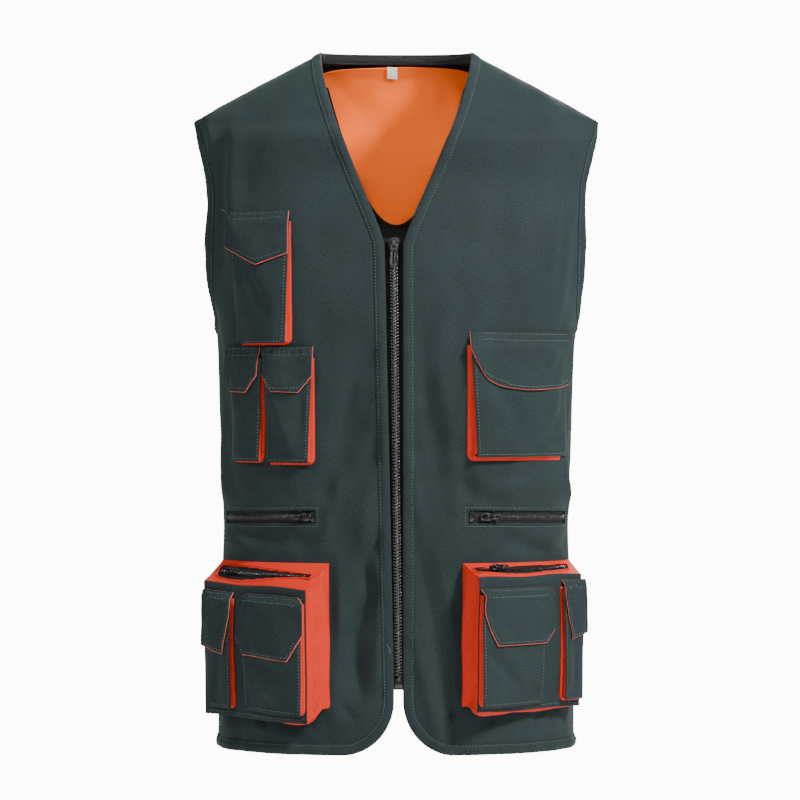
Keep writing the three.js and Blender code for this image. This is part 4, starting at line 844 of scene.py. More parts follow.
for side, which in sides:
    down, wide = crossed(np.linspace(shell["vDepth"] - 7, shell["zipEnd"], 240), np.linspace(0, 1, 14))
    x = zipX(down) + side * (zipper["tapeInner"] + wide * zipper["tapeWide"])
    ribbed = 0.12 * np.sin(wide * 60) + 0.25 * (wide < 0.08)
    grid = [atX(x, down, zipper["tapeOff"] + ribbed - thick) for thick in (0, zipper["tapeThick"])]
    addLayer(f"zip_tape_{which}_cloth", *grid, "tape", uv=pair(x, -down), nodes=[f"zip_tape_{which}"])
    first, last = shell["vDepth"] + 6, shell["zipEnd"] - 10
    t = np.arange(first + (0 if side < 0 else zipper["pitch"] / 2), last, zipper["pitch"])
    middle = zipX(t) + side * zipper["toothAt"]
    centres = atX(middle, t, zipper["face"] - zipper["toothSunk"])
    out = unit(atX(middle, t, 5) - atX(middle, t, 0))
    run = unit(atX(middle, t + 1, 0) - atX(middle, t - 1, 0))
    inward = unit(np.cross(out, run))
    inward *= np.sign(inward[:, :1] * -side)
    addBlocks(f"zip_teeth_{which}_row", centres, run, inward, out, zipper["tooth"], [f"zip_teeth_{which}"])


def frameOn(point, along, out):  # x across, y back along the chain, z out of the cloth
    z = unit(out)
    x = unit(np.cross(along, z))
    return np.stack([x, np.cross(z, x), z], axis=-1), point


def outlineMesh(outline, low, high, hole=None):
    count = len(outline)
    points = [(x, y, z) for z in (low, high) for x, y in outline]
    if hole is None:
        faces = [tuple(range(count))[::-1], tuple(range(count, 2 * count))]
        faces += [(i, (i + 1) % count, count + (i + 1) % count, count + i) for i in range(count)]
        return points, faces
    base = len(points)
    points += [(x, y, z) for z in (low, high) for x, y in hole]
    faces = []
    for i in range(count):
        n = (i + 1) % count
        faces += [(i, n, count + n, count + i), (base + n, base + i, base + count + i, base + count + n),
                  (n, i, base + i, base + n), (count + i, count + n, base + count + n, base + count + i)]
    return points, faces


def boxParts(left, right, near, far, low, high):
    return outlineMesh([(left, near), (right, near), (right, far), (left, far)], low, high)


def addParts(name, parts, place, finish, nodes, body="root", soften=0.18):
    axes, origin = place
    points, faces = [], []
    for some, around in parts:
        start = len(points)
        points += list(some)
        faces += [tuple(start + i for i in face) for face in around]
    piece = addMesh(name, np.array(points) @ axes.T + origin, faces, finish, nodes=nodes, body=body, sharp=30)
    bevelled(piece, soften, 2)


# crown: length, height, width and bar. Pull: length, width at its top and foot, thickness.
mainSlider = {"length": 14, "top": 9.5, "foot": 7.5, "plate": 1.1, "crown": (6.8, 4.2, 2.4, 1.3),
              "pull": (22, 6.4, 8.6, 1.5), "under": 3.3}
pocketSlider = {"length": 11, "top": 7.4, "foot": 6.2, "plate": 0.9, "crown": (5.6, 3.5, 1.8, 1.0),
                "pull": (14, 5, 6.2, 1.2), "under": 0}
runningGap = 0.35


def addSlider(name, place, size):
    top, gap = size["length"] / 2, runningGap
    wideTop, wideFoot = size["top"] / 2, size["foot"] / 2
    crownLong, crownHigh, crownWide, bar = size["crown"]
    shield = [(-wideFoot, -top), (wideFoot, -top), (wideFoot + 0.4, -top / 3), (wideTop, top - 3),
              (wideTop - 0.7, top - 1), (wideTop - 2, top), (2 - wideTop, top), (0.7 - wideTop, top - 1),
              (-wideTop, top - 3), (-wideFoot - 0.4, -top / 3)]
    face = gap + size["plate"]
    parts = [outlineMesh(shield, gap, face)]
    for s in (-1, 1):  # flanges that wrap the chain
        parts.append(boxParts(*sorted((s * wideFoot, s * (wideFoot - 0.9))), -top, top - 4, -0.6, gap + 0.2))
    half, halfWide = crownLong / 2, crownWide / 2
    parts += [boxParts(-halfWide, halfWide, -half, -half + bar, face - 0.2, face + crownHigh),
              boxParts(-halfWide, halfWide, half - bar, half, face - 0.2, face + crownHigh),
              boxParts(-halfWide, halfWide, -half + 0.3, half - 0.3, face + crownHigh - bar,
                       face + crownHigh + 0.1)]
    if size["under"]:
        below = -size["under"] - gap
        parts.append(outlineMesh(shield, below - size["plate"], below))
        parts.append(boxParts(-1.1, 1.1, top - 3, top - 1, below - 0.2, face - 0.2))
    addParts(f"{name}_slider_metal", parts, place, "metal", [f"{name}_slider"])

    pullLong, pullTop, pullFoot, thick = size["pull"]
    pullTop, pullFoot, foot = pullTop / 2, pullFoot / 2, -pullLong
    low = face + (crownHigh - bar) / 2 - thick / 2
    eyeEnd = -(math.hypot(crownLong / 2, crownHigh - bar) + 0.5)
    eye = crownWide / 2 + gap
    ring = [(-pullTop, thick / 2), (pullTop, thick / 2), (pullTop, eyeEnd - 1), (-pullTop, eyeEnd - 1)]
    inner = [(-eye, -thick / 2), (eye, -thick / 2), (eye, eyeEnd), (-eye, eyeEnd)]
    blade = [(-pullTop, eyeEnd - 0.9), (pullTop, eyeEnd - 0.9), (pullFoot, foot + 1.5), (pullFoot - 1.5, foot),
             (1.5 - pullFoot, foot), (-pullFoot, foot + 1.5)]
    slot = [(-0.9, eyeEnd - 2), (0.9, eyeEnd - 2), (pullFoot - 2, foot + 2.2), (pullFoot - 2.4, foot + 2),
            (2.4 - pullFoot, foot + 2), (2 - pullFoot, foot + 2.2)]
    parts = [outlineMesh(ring, low, low + thick, inner), outlineMesh(blade, low, low + thick, slot)]
    addParts(f"{name}_pull_metal", parts, place, "metal", [f"{name}_pull"], body=f"{name}_pull_body", soften=0.25)


def zipFrame(down):
    here = atX(zipX(down), down, zipper["face"])
    out = unit(atX(zipX(down), down, 10) - atX(zipX(down), down, 0))
    return frameOn(here, atX(zipX(down - 5), down - 5, 0) - atX(zipX(down + 5), down + 5, 0), out)


addSlider("zip", zipFrame(shell["vDepth"]), mainSlider)
addParts("zip_box_moulded", [boxParts(-3.6, 3.6, -4.5, 4.5, -3.7, 0.9), boxParts(-2.6, 2.6, -3.2, 3.2, 0.8, 1.3),
                             boxParts(0.6, 2.2, 4.2, 11, -2.2, 0.3)],
         zipFrame(shell["zipEnd"] - zipper["boxUp"]), "tooth", ["zip_box"])
print("front zip made")


# Bellows pockets, each with a cloth front, a contrast gusset and a lined flap
pocketMake = {"cloth": 1.3, "gusset": 1.1, "flapRoom": 1.4, "pillow": 1.5, "swellUnit": 9.0, "flush": 0.95,
              "creaseGain": 2.8, "seamIn": 2.2, "corner": 7.0, "flapSeams": (1.6, 7.5), "flapEdgeSeam": 3.4}
flapShapes = {  # share across, share of the flap's height
    "pointed": [(0, 0.8), (0.24, 0.9), (0.46, 1), (0.74, 0.82), (1, 0.65)],
    "clipped": [(0, 0.64), (0.26, 1), (0.78, 0.98), (1, 0.62)],
    "rounded": [(0, 0.3), (0.05, 0.55), (0.13, 0.82), (0.26, 0.95), (0.45, 1), (0.7, 0.98), (0.93, 0.9), (1, 0.74)],
    "flared": [(0, 0.58), (0.21, 1.02), (0.89, 0.98), (1, 0.72)],
    "squared": [(0, 0.4), (0.08, 0.76), (0.15, 1), (0.87, 1), (1, 0.76)],
    "slanted": [(0, 0.4), (0.22, 1), (1, 0.9)],
}
# name, side, shape, inner, outer, mouth, bottom, inset, swellMouth, swellBottom,
# then the flap's top, height, inner, outer and tuck
pocketTable = [
    ("chest_pocket_right", -1, "pointed", 0.444, 0.726, 0.256, 0.429, 0.444, 0.333, 1, 0.241, 0.075, 0.452, 0.748,
     0.056),
    ("pen_pocket_outer", -1, "clipped", 0.574, 0.756, 0.447, 0.594, 0.333, 0.333, 0.778, 0.431, 0.063, 0.596, 0.8,
     0.056),
    ("pen_pocket_inner", -1, "clipped", 0.344, 0.57, 0.447, 0.597, 0.556, 0.333, 1, 0.431, 0.063, 0.348, 0.574,
     0.056),
    ("chest_pocket_left", 1, "rounded", 0.3, 0.826, 0.429, 0.591, 0.889, 0.667, 0.889, 0.41, 0.08, 0.309, 0.874,
     0.111),
]
facePocketTable = [
    ("wide", -1, "flared", 0.006, 0.584, 0.108, 0.939, 0.089, 0.556, 0.778, 0.061, 0.462, -0.018, 0.635, 1.111),
    ("narrow", -1, "slanted", 0.683, 0.969, 0.108, 0.939, 0.111, 0.444, 0.778, 0.061, 0.462, 0.691, 1.001, 0.056),
    ("wide", 1, "squared", 0.002, 0.612, 0.131, 0.962, 0.067, 0.556, 0.778, 0.085, 0.415, 0.012, 0.699, 0),
    ("narrow", 1, "slanted", 0.778, 1.017, 0.092, 0.954, 0.278, 0.444, 0.778, 0.038, 0.446, 0.802, 1.033, 0),
]
pocketCreases = {  # both ends in shares of the front, then width and height
    "chest_pocket_right": [(0.75, 0.35, 0.35, 0.75, 7, -0.9), (0.55, 0.2, 0.4, 0.4, 6, 0.5),
                           (0.2, 0.6, 0.15, 0.95, 8, 0.6)],
    "pen_pocket_outer": [(0.2, 0.3, 0.5, 0.8, 6, -0.6)],
    "pen_pocket_inner": [(0.1, 0.35, 0.2, 0.7, 7, -0.8), (0.7, 0.5, 0.4, 0.9, 8, 0.6)],
    "chest_pocket_left": [(0.12, 0.25, 0.42, 0.75, 9, -1.0), (0.3, 0.6, 0.45, 0.95, 9, -0.7),
                          (0.85, 0.3, 0.7, 0.7, 10, 0.6)],
    "cargo_right_wide": [(0.75, 0.55, 0.3, 0.62, 7, -0.9), (0.6, 0.75, 0.3, 0.92, 6, 0.5),
                         (0.85, 0.3, 0.8, 0.7, 6, -0.5)],
    "cargo_right_narrow": [(0.3, 0.4, 0.6, 0.9, 6, -0.8)],
    "cargo_left_wide": [(0.15, 0.55, 0.55, 0.82, 7, -1.2), (0.5, 0.82, 0.95, 0.86, 6, -0.8),
                        (0.2, 0.4, 0.3, 0.6, 8, 0.5)],
    "cargo_left_narrow": [(0.4, 0.3, 0.5, 0.9, 6, -0.8)],
}


def buildPocket(name, host, row, wide, high):
    side, shape = row[1:3]
    inner, outer, flapInner, flapOuter = (row[n] * wide for n in (3, 4, 12, 13))
    mouth, bottom, flapTop, flapHigh = (row[n] * high for n in (5, 6, 10, 11))
    inset, swellMouth, swellBottom, tuck = (row[n] * pocketMake["swellUnit"] for n in (7, 8, 9, 14))
    frontInner, frontBottom, flush, cloth = inner + inset, bottom - inset / 2, pocketMake["flush"], pocketMake["cloth"]

    def swell(across, down):
        full = mix(swellMouth, swellBottom, clampShare(mouth, bottom, down))
        return mix(np.maximum(full, flush), flush, clampShare(frontInner, outer, across) ** 1.5)

    def faceOff(across, down):
        s, t = clampShare(frontInner, outer, across), clampShare(mouth, frontBottom, down)
        off = swell(across, down) + pocketMake["pillow"] * np.sin(np.pi * s) * np.sin(np.pi * t)
        for a0, d0, a1, d1, w, h in pocketCreases[name]:
            p = np.array([mix(frontInner, outer, a0), mix(mouth, frontBottom, d0)])
            q = np.array([mix(frontInner, outer, a1), mix(mouth, frontBottom, d1)]) - p
            along = np.clip(((across - p[0]) * q[0] + (down - p[1]) * q[1]) / (q @ q), 0, 1)
            away = np.hypot(across - p[0] - along * q[0], down - p[1] - along * q[1]) / w
            bell = pocketMake["creaseGain"] * h * np.exp(-away * away) * np.sin(np.pi * mix(0.15, 0.85, along))
            off = off + bell * endFade(s, 0.15)
        rough = 0.5 * noiseAt(across, down, 11, len(name)) + 0.8 * noiseAt(across, down * 0.6, 24, len(name) + 3)
        return off + rough * endFade(s, 0.12)

    # cloth front, its edges turned under and sewn
    s = np.concatenate([[0, 0.004, 0.012], np.linspace(0.025, 0.975, 44), [0.988, 0.996, 1]])
    t = np.concatenate([np.linspace(0, 0.975, 60), [0.985, 0.993, 1]])
    share, down = crossed(s, mix(mouth, frontBottom, t))
    innerEdge = frontInner - 0.75 * inset * (1 - clampShare(mouth, frontBottom, down)) ** 1.3
    across = mix(innerEdge, outer, share)
    edge = np.minimum(np.minimum(across - innerEdge, outer - across), frontBottom - down)
    off = faceOff(across, down)
    roll = 0.7 * edgeRoll(edge) + 0.22 * dent(edge, pocketMake["seamIn"], 0.5)
    grid = [host(across, down, off + cloth - roll), host(across, down, off)]
    piece = addLayer(f"{name}_front_cloth", *grid, "cloth", uv=pair(across, -down),
                     nodes=[f"{name}_front"])
    under = name.rsplit("_", 1)[0] + "_face" if "cargo" in name else "front_right" if side < 0 else "front_left"
    outward = np.sign(((grid[0] - grid[1]) * normalsOf(grid[0])).sum()) * normalsOf(grid[0])
    at = lambda a: int(np.argmin(np.abs(mix(frontInner, outer, s) - a)))
    near, far = at(frontInner + pocketMake["seamIn"]), at(outer - pocketMake["seamIn"])
    low = int(np.argmin(np.abs(mix(mouth, frontBottom, t) - (frontBottom - pocketMake["seamIn"]))))
    for c in (near, far):
        sew(name, grid[0][c, 6:low], outward[c, 6:low])
    sew(name, grid[0][near:far, low], outward[near:far, low])

    # gusset, down the inner side, round the corner and along the bottom till it tapers off
    corner = pocketMake["corner"]
    sideLine = [(inner, mix(mouth, bottom - corner, q), 1, 0) for q in np.linspace(0, 1, 40)]
    turn = [(inner + corner * (1 - math.cos(q)), bottom - corner * (1 - math.sin(q)), math.cos(q), -math.sin(q))
            for q in np.linspace(0.1, math.pi / 2, 9)]
    base = [(q, bottom, 0, -1) for q in np.linspace(inner + corner, mix(inner, outer, 0.9), 40)[1:]]
    stations = np.array(sideLine + turn + base)
    a, d, intoA, intoD = (stations[:, n][:, None] for n in range(4))
    depth = np.maximum(swell(np.maximum(a, frontInner), d) - 0.2, 1.0)
    q = np.linspace(0, 1, 13)[None, :]
    line = np.arange(len(stations))[:, None]
    ripple = 0.45 * noiseAt(line * 2.2, q * 9, 9, 11) * np.sin(np.pi * q)
    towards = inset * q ** 1.6 + (inset / 2 + 1.6) * dent(q, 0.52, 0.17) + ripple
    share = np.where(intoD < -0.5, 0.55, 1.0)
    grids = []
    for thick in (0, pocketMake["gusset"]):
        shift = (towards + thick) * share
        grids.append(host(a + intoA * shift, d + intoD * shift, mix(0.3, depth, q)))
    addLayer(f"{name}_gusset_cloth", *grids, "contrast", uv=pair(line * 3.0, q * 12),
             nodes=[f"{name}_gusset"], sharp=70)

    # flap, sewn on above the mouth, with its lining showing as a thin edge
    shares, drops = (np.array(values) for values in zip(*flapShapes[shape]))
    grain = np.unique(np.round(np.concatenate([np.linspace(0, 1, 46), shares, [0.012, 0.03, 0.97, 0.988]]), 4))
    dropAt = curveThrough(shares, drops)(grain) if shape == "rounded" else np.interp(grain, shares, drops)
    levels = np.concatenate([np.linspace(0, 0.955, 26), [0.975, 0.99, 1]])
    flapWide = flapOuter - flapInner
    firstSeam, secondSeam = pocketMake["flapSeams"]
    for part, more, lift, thick in (("cloth", 0.0, 0.55, 1.0), ("lining", 0.7, 0.05, 0.45)):
        outside = part == "cloth"
        g, l = crossed(grain, levels)
        drop = l * (dropAt[:, None] * flapHigh + more)
        down = flapTop + drop
        drawn = tuck * (1 - 2 * g) * np.clip(1 - drop / (mouth - flapTop), 0, 1)
        across = mix(flapInner - more * 0.7, flapOuter + more * 0.5, g) + drawn
        free = ease(drop, 0, (mouth - flapTop) * 1.3)
        resting = faceOff(across, np.maximum(down, mouth)) + cloth + pocketMake["flapRoom"] * 0.6
        wave = 0.5 * noiseAt(across, down, 12, 21) + 0.7 * noiseAt(across, down, 26, 22)
        pucker = 0.55 * np.sin(across / 0.95 + 2 * np.sin(across / 6)) * dent(drop, 5, 3.2)
        flare = 1.1 * ease(l, 0.55, 1) * (0.6 + 0.4 * noiseAt(across, across * 0, 15, 23))
        off = mix(0.7, resting, free) + (wave * free + flare) + pucker
        roll = groove = 0
        if outside:
            edge = np.minimum(np.minimum(g * flapWide, (1 - g) * flapWide), dropAt[:, None] * flapHigh * (1 - l))
            roll = 0.5 * edgeRoll(edge)
            groove = 0.3 * (dent(edge, pocketMake["flapEdgeSeam"], 0.55) + dent(drop, secondSeam, 0.6))
        grids = [host(across, down, off + lift + thick - roll - groove), host(across, down, off + lift)]
        piece = addLayer(f"{name}_flap_{part}", *grids, "cloth" if outside else "edging", uv=pair(across, -down),
                         slot="cloth" if outside else "contrast", nodes=[f"{name}_flap"] if outside else ())
        if outside:
            top, topDrop = grids[0], drop
    outward = normalsOf(top)
    outward *= np.sign((outward * (host(across, down, 5.0) - host(across, down, 0.0))).sum())
    pick = np.arange(len(grain))[(grain > 0.07) & (grain < 0.93)]
    edgeAway = np.abs(edge + 99 * (levels[None, :] < 0.5) - pocketMake["flapEdgeSeam"])
    for away in (np.abs(topDrop - firstSeam), np.abs(topDrop - secondSeam), edgeAway):
        column = away.argmin(axis=1)
        sew(name, top[pick, column[pick]], outward[pick, column[pick]])


for row in pocketTable:
    buildPocket(row[0], lambda a, d, off: pointOn(-1, row[1] * a, d, off), row, reach, long)
print("patch pockets made")


# Slits: a tape set behind the opening, a chain with fine teeth, a folded welt and the slider
strip = {"tape": 0.9, "pitch": 1.25, "tooth": (0.95, 3.6, 1.2), "aside": 0.7, "slant": 0.25}


def zipStrip(name, surface, length, wide, nodes, chainFrom, chainTo, tapeOff):
    s, w = crossed(np.linspace(0, 1, 90), np.linspace(-0.5, 0.5, 15))
    ribs = 0.1 * np.sin(w * 55) + 0.5 * np.exp(-(w * wide / 2.6) ** 4)
    grid = [surface(s, w * wide, tapeOff + ribs - thick) for thick in (0, strip["tape"])]
    addLayer(f"{name}_tape", *grid, "tape", uv=pair(s * length, w * wide), nodes=nodes)
    count = int(length * (chainTo - chainFrom) / strip["pitch"])
    t = mix(chainFrom, chainTo, (np.arange(count) + 0.5) / count)
    centre = surface(t, t * 0, tapeOff + 1.1 + t * 0)
    run = unit(surface(t + 0.01, t * 0, t * 0) - surface(t - 0.01, t * 0, t * 0))
    out = unit(surface(t, t * 0, t * 0 + 5) - surface(t, t * 0, t * 0))
    across = unit(np.cross(out, run))
    slant = np.where(np.arange(count) % 2 == 0, 1.0, -1.0)[:, None]
    addBlocks(f"{name}_chain", centre + across * slant * strip["aside"], unit(run + across * strip["slant"] * slant),
              across * slant, out, strip["tooth"], [], taper=0.5)


def weltRound(name, line, out, finish, wide=2.0, high=0.7):  # a rolled edge round an opening
    across = unit(np.cross(unit(np.roll(line, -1, axis=0) - np.roll(line, 1, axis=0)), out))
    turn = np.linspace(0, 2 * np.pi, 9)[:-1]
    grid = (line[:, None] + across[:, None] * (wide / 2 * np.cos(turn))[None, :, None]
            + out[:, None] * (high * np.sin(turn))[None, :, None])
    count, around = len(line), len(turn)
    faces = []
    for i in range(count):
        for j in range(around):
            a, b, n = i * around, ((i + 1) % count) * around, (j + 1) % around
            faces.append((a + j, b + j, b + n, a + n))
    uv = pair(lengthsAlong(line)[:, None], (turn * wide)[None, :]).reshape(-1, 2)
    addMesh(name, grid.reshape(-1, 3), faces, finish, uv=uv, sharp=80)


def loopOf(width, height, corner):  # a rectangle with round corners, in even steps
    a, b = width / 2 - corner, height / 2 - corner
    points = []
    for x, y, start in ((a, b, 0), (-a, b, 0.5), (-a, -b, 1), (a, -b, 1.5)):
        for q in np.linspace(0, 0.5, 5):
            turn = math.pi * (start + q)
            points.append((x + corner * math.cos(turn), y + corner * math.sin(turn)))
    points = np.array(points + points[:1])
    run = np.concatenate([[0], np.cumsum(np.hypot(*np.diff(points, axis=0).T))])
    at = np.arange(0, run[-1], 2.0)
    return np.interp(at, run, points[:, 0]), np.interp(at, run, points[:, 1])


def sliderOn(name, surface, at, step, top):
    here = surface(at, 0, top)
    ahead = surface(at + step, 0, top) - surface(at - step, 0, top)
    addSlider(name, frameOn(here, ahead, surface(at, 0, top + 5) - here), pocketSlider)
    return ahead


for side, which in sides:
    slitLong = slit["outer"] - slitInner(side)
    at = (mix(slit["inner"], slit["outer"], slit["slider"]) - slitInner(side)) / slitLong

    def onSlit(s, w, off):
        across = mix(slitInner(side), slit["outer"], s)
        return pointOn(-1, side * across, slitDown(across) + w, off)
    zipStrip(f"slit_zip_{which}", onSlit, slitLong, slit["high"] + slit["tapeMore"], [f"slit_zip_{which}"],
             at + slit["chainAfter"], slit["chainTo"], slit["tapeOff"])
    x, y = loopOf(slitLong, slit["high"], slit["corner"])
    line = onSlit(0.5 + x / slitLong, y, -0.3)
    out = unit(onSlit(0.5 + x / slitLong, y, 3.0) - line)
    weltRound(f"slit_welt_{which}", line, out, "cloth")
    x, y = loopOf(slitLong + slit["stitchOut"], slit["high"] + slit["stitchOut"], slit["stitchCorner"])
    sew(f"slit_{which}", onSlit(0.5 + x / slitLong, y, 0.0), out[:1].repeat(len(x), axis=0))
    along = sliderOn(f"slit_{which}", onSlit, at, -0.05, slit["sliderUp"])
    # moulded stop that the slider rests against
    end = onSlit(slit["stop"], 0, -0.9)
    addParts(f"slit_stop_{which}", [boxParts(-4.6, 4.6, -1.6, 1.6, 0, 1.5), boxParts(-3.2, 3.2, -3.0, -1.4, 0, 1.1)],
             frameOn(end, along, onSlit(slit["stop"], 0, 4) - end), "tooth", [])
print("slits made")

# Cargo pockets: a gusset ring from the seam on the front to a face that hangs lower and stands off
cargo = {"inner": 0.2826 * reach, "outer": 0.9 * reach, "top": 0.7341 * long, "bottom": 0.9321 * long,
         "deepTop": 36, "deepBottom": 33, "inset": 4, "faceHigh": 0.1879 * long, "pillow": 3.5, "cloth": 1.3,
         "tapeMore": 2, "tapeOff": -1.3, "chainFrom": 0.02, "chainTo": 0.97, "sliderUp": 1.4, "weltWide": 1.7,
         "crease": 5.0, "counter": 2.4, "slump": 3, "slumpMore": 5, "wave": 1.4, "ripple": 1.3, "topCalm": 0.35}
cargoSides = [
    {"name": "cargo_right", "side": -1, "sag": 0.1846, "tilt": 0.0308, "shift": -0.0154, "zipFrom": 0.05,
     "zipTo": 0.92, "zipWide": 20, "slider": 0.768, "sliderStep": 0.05},
    {"name": "cargo_left", "side": 1, "sag": 0.0923, "tilt": 0, "shift": -0.0808, "zipFrom": 0.03,
     "zipTo": 0.9, "zipWide": 17, "slider": 0.192, "sliderStep": -0.05},
]


def buildCargo(name, side, sag, tilt, shift, zipFrom, zipTo, zipWide, slider, sliderStep):
    faceHigh = cargo["faceHigh"]
    midDown = (cargo["top"] + cargo["bottom"]) / 2
    flatPoint = lambda a, d: pointOn(-1, side * a, d, 0, folded=False)
    chord = flatPoint(cargo["outer"], midDown) - flatPoint(cargo["inner"], midDown)
    chord[2] = 0
    faceWide = np.linalg.norm(chord) - 2 * cargo["inset"]
    along = unit(chord)
    outDir = np.array([along[1], -along[0], 0]) * side
    corner = flatPoint(cargo["inner"], cargo["top"])

    def host(across, down, off):
        across, down, off = np.broadcast_arrays(*(np.asarray(a, float) for a in (across, down, off)))
        s, t = across / faceWide, down / faceHigh
        bulge = cargo["pillow"] * np.sin(np.pi * np.clip(s, 0, 1)) * np.sin(np.pi * np.clip(t, 0, 1))
        bulge = bulge + 0.9 * noiseAt(across, down, 30, 31 + side) * ease(t, -0.1, 0.2)
        edgeWave = 0.8 * np.sin(across / 14 + side) * (1 - ease(t, 0, 0.12))
        edgeWave = edgeWave + 0.7 * np.sin(across / 17 + 2) * ease(t, 0.9, 1)
        points = corner + along * (cargo["inset"] + shift * faceHigh + across)[..., None]
        points = points + outDir * (mix(cargo["deepTop"], cargo["deepBottom"], t) + bulge + off)[..., None]
        points[..., 2] = -cargo["top"] - down - (sag - tilt * across / faceWide) * faceHigh + edgeWave
        return points

    s, t = crossed(np.linspace(0, 1, 70), np.linspace(0, 1, 70))
    edge = np.minimum(np.minimum(s, 1 - s) * faceWide, np.minimum(t, 1 - t) * faceHigh)
    roll = 0.8 * edgeRoll(edge / 1.5) + 0.3 * dent(edge, 2.6, 0.8)
    grid = [host(s * faceWide, t * faceHigh, off) for off in (-roll, -cargo["cloth"])]
    piece = addLayer(f"{name}_face_cloth", *grid, "cloth", uv=pair(s * faceWide, -t * faceHigh),
                     nodes=[f"{name}_face"])
    outward = np.broadcast_to(outDir, grid[0].shape)
    sew(name, grid[0][2:-2, 67], outward[2:-2, 67])
    sew(name, grid[0][2, 2:-2], outward[2, 2:-2])

    # the ring, with soft folds between its seams
    perRow = 60
    there, back = np.linspace(0, 1, perRow), np.linspace(1, 0, perRow)
    repeats = [perRow, 2 * perRow, 3 * perRow, 4 * perRow - 1]
    u = np.delete(np.concatenate([there, np.ones(perRow), back, np.zeros(perRow)]), repeats)
    v = np.delete(np.concatenate([np.zeros(perRow), there, np.ones(perRow), back]), repeats)
    inwards = lambda a: np.where(a < 0.001, 1.0, np.where(a > 0.999, -1.0, 0.0))
    into = pair(inwards(u), inwards(v))

    def ringPoint(u, v, into, thick, q):
        seam = pointOn(-1, side * (mix(cargo["inner"], cargo["outer"], u) + into[..., 0] * thick),
                       mix(cargo["top"], cargo["bottom"], v) + into[..., 1] * thick, 0.2)
        rim = host(u * faceWide + into[..., 0] * thick, v * faceHigh + into[..., 1] * thick, -1.5)
        return seam + (rim - seam) * q[..., None]
    q = np.linspace(0, 1, 26)
    station, level = crossed(np.arange(len(u)), q)
    u, v, into = u[station], v[station], into[station]
    outerGrid = ringPoint(u, v, into, 0.0, level)
    girth = np.cumsum(np.concatenate([[0], np.linalg.norm(np.diff(outerGrid[:, 12], axis=0), axis=1)]))
    bellows = np.sin(np.pi * level)
    creaseAt = 0.62 - 0.22 * v + 0.05 * np.sin(v * 9)
    onInnerSide = (np.abs(into[..., 0]) > 0) & (u < 0.5)
    fold = (cargo["crease"] * np.exp(-np.abs((level - creaseAt) / 0.13) ** 1.3)
            - cargo["counter"] * dent(level - creaseAt + 0.34, 0, 0.12))
    slump = np.where(into[..., 1] < -0.5, cargo["slump"] + cargo["slumpMore"] * dent(u, 0.12, 0.16), 0)
    slump = slump * np.sin(np.pi * level ** 1.3)
    fold = fold * onInnerSide - slump * ease(np.minimum(u, 1 - u), 0, 0.04)
    fold = fold + (cargo["wave"] * np.sin(girth[station] / 21 + 1.5) * bellows
                   + cargo["ripple"] * noiseAt(girth[station], level * 40, 13, 41 + side) * bellows)
    inward = unit(ringPoint(u, v, into, 3.0, level) - outerGrid)
    fold = fold * np.where(v < 0.001, cargo["topCalm"], 1.0)
    grids = [outerGrid + inward * (fold + thick)[..., None] for thick in (0, pocketMake["gusset"])]

    # opening for the zip in the top panel
    def openAt(s):  # its half width along the zip
        if side < 0:
            return zipWide / 2 * ((0.3 + 0.7 * ease(s, 0.0, 0.8)) * ease(1 - s, -0.08, 0.06))
        return zipWide / 2 * (0.62 + 0.38 * np.sin(2.6 * np.clip(s, 0, 1) + 0.2))

    def onTop(s, w, off):
        s, w, off = (np.asarray(a, float) for a in (s, w, off))
        u = mix(zipFrom, zipTo, s)
        into = pair(0 * u, 0 * u + 1)
        seam, rim = ringPoint(u, 0 * u, into, 0.0, 0 * u), ringPoint(u, 0 * u, into, 0.0, 0 * u + 1)
        slope = unit(rim - seam)
        ahead = (ringPoint(u + 0.02, 0 * u, into, 0.0, 0 * u + 0.5)
                 - ringPoint(u - 0.02, 0 * u, into, 0.0, 0 * u + 0.5))
        up = unit(np.cross(ahead, slope))
        up = up * np.where(up[..., 2:] < 0, -1.0, 1.0)
        return (seam + rim) / 2 + slope * w[..., None] + up * off[..., None]
    slopeLong = np.linalg.norm(outerGrid[:perRow, -1] - outerGrid[:perRow, 0], axis=1).mean()
    midU, midLevel = (u[:-1, :-1] + u[1:, 1:]) / 2, (level[:-1, :-1] + level[1:, 1:]) / 2
    alongZip = (midU - zipFrom) / (zipTo - zipFrom)
    hole = ((v[:-1, :-1] < 0.001) & (v[1:, 1:] < 0.001) & (alongZip > 0) & (alongZip < 1)
            & (np.abs(midLevel - 0.5) * slopeLong < openAt(alongZip) - 0.4))
    ringKeep = np.ones((len(u), len(q) - 1), bool)
    ringKeep[:-1] = ~hole
    grids = [np.concatenate([g, g[:1]]) for g in grids]
    uv = pair(np.append(girth, girth[-1] + 2)[:, None], (q * 38)[None, :])
    addLayer(f"{name}_gusset_cloth", *grids, "contrast", uv=uv, keep=ringKeep,
             nodes=[f"{name}_gusset"], sharp=75)
    zipStrip(f"{name}_zip", onTop, (zipTo - zipFrom) * faceWide, zipWide + cargo["tapeMore"], [f"{name}_zip"],
             cargo["chainFrom"], cargo["chainTo"], cargo["tapeOff"])
    there, back = np.linspace(0, 1, 46), np.linspace(1, 0, 46)
    loop = np.concatenate([there, back])
    half = np.concatenate([openAt(there), -openAt(back)])
    line = onTop(loop, half, 0 * loop + 0.1)
    weltRound(f"{name}_welt", line, unit(onTop(loop, half, 0 * loop + 4) - line), "contrast", cargo["weltWide"])
    sliderOn(name, onTop, (slider - zipFrom) / (zipTo - zipFrom), sliderStep, cargo["sliderUp"])
    for row in [r for r in facePocketTable if r[1] == side]:
        buildPocket(f"{name}_{row[0]}", host, row, faceWide, faceHigh)


for pocket in cargoSides:
    buildCargo(**pocket)
print("cargo pockets made")

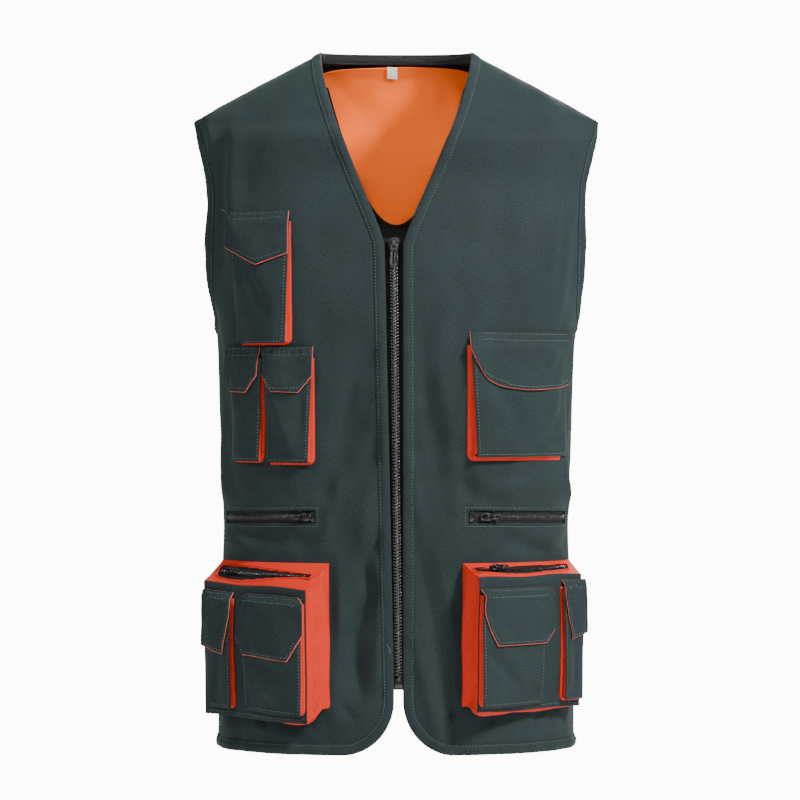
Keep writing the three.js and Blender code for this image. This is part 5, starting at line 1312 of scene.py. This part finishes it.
for name, parts in stitchRows.items():
    corners = np.concatenate(parts)
    faces = (np.arange(len(corners))[:, None, None] * corners.shape[1] + thread["faces"]).reshape(-1, 3)
    addMesh(f"stitches_{name}", corners.reshape(-1, 3), faces, "thread", "cloth")

# Loose thread ends, as the photograph shows them: start, drop, side
threadEnds = [((201, 284), (3, 1.5, -9), 1), ((195, 286), (6, -2, -4), 1), ((172, 167), (-3, -3, 6), -1),
              ((9, 586), (5, -6, -12), -1)]
for n, (start, drop, side) in enumerate(threadEnds):
    t = np.linspace(0, 1, 9)[:, None]
    line = (pointOn(-1, side * start[0], start[1], 3.2) + np.array(drop) * t * [1, 1, 0.6]
            + np.array([1.2, -1.0, 0.8]) * np.sin(t * 5) * t)
    curve = bpy.data.curves.new(f"loose_thread_{n}", "CURVE")
    curve.dimensions = "3D"
    curve.bevel_depth = 0.00015
    spline = curve.splines.new("POLY")
    spline.points.add(len(line) - 1)
    spline.points.foreach_set("co", np.concatenate([line / 1000, np.ones((len(line), 1))], axis=1).ravel())
    curve.materials.append(finishes["thread"])
    piece = linked(f"loose_thread_{n}", curve)
    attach(piece, "root")

# Floor, light and camera
studio = {"floor": -1.05, "floorHalf": 2, "floorColour": (0.93, 0.93, 0.93), "world": 0.28, "seenWorld": 12,
          "aim": (0, 0, -0.35), "collarAim": (0, 0.09, -0.1), "collarSpread": 16, "focal": 139.5, "sensor": 36,
          "camera": (0.004, -3.1, -0.35)}
lamps = [("key", (1.4, -1.25, 0.95), 0.45, 110), ("fill", (-1.4, -1.3, 0.9), 0.6, 26),
         ("front", (0.0, -3.6, 0.9), 0.8, 20), ("collar", (0.0, -0.55, 0.42), 0.12, 0.09),
         ("behind", (0.3, 2.4, 0.9), 1.4, 90)]
w, z = studio["floorHalf"], studio["floor"]
floorMesh = bpy.data.meshes.new("floor")
floorMesh.from_pydata([(-w, -w, z), (w, -w, z), (w, w, z), (-w, w, z)], [], [(0, 1, 2, 3)])
floorFinish = bpy.data.materials.new("floor paint")
floorFinish.use_nodes = True
feed(floorFinish.node_tree, floorFinish.node_tree.nodes["Principled BSDF"],
     {"Base Color": (*studio["floorColour"], 1), "Roughness": 0.9})
floorMesh.materials.append(floorFinish)
floor = linked("floor", floorMesh)
world = bpy.data.worlds.new("studio")
bpy.context.scene.world = world
world.use_nodes = True
seen = node(world.node_tree, "ShaderNodeLightPath").outputs["Is Camera Ray"]
strength = maths(world.node_tree, "MULTIPLY_ADD", seen, studio["seenWorld"] - studio["world"], studio["world"])
feed(world.node_tree, world.node_tree.nodes["Background"], {0: (1, 1, 1, 1), 1: strength})
for name, place, size, power in lamps:
    lamp = bpy.data.lights.new(name, "AREA")
    lamp.shape, lamp.size, lamp.energy = "DISK", size, power
    aim = studio["aim"]
    if name == "collar":
        aim, lamp.spread = studio["collarAim"], math.radians(studio["collarSpread"])
    light = linked(name, lamp)
    light.location = place
    light.rotation_euler = (Vector(aim) - Vector(place)).to_track_quat("-Z", "Y").to_euler()
cameraData = bpy.data.cameras.new("camera")
cameraData.lens, cameraData.sensor_width = studio["focal"], studio["sensor"]
camera = linked("camera", cameraData)
camera.location = studio["camera"]
camera.rotation_euler = (math.pi / 2, 0, 0)
bpy.context.scene.camera = camera

print("scene made,", sum(len(p.data.polygons) for p in made.values()), "faces")
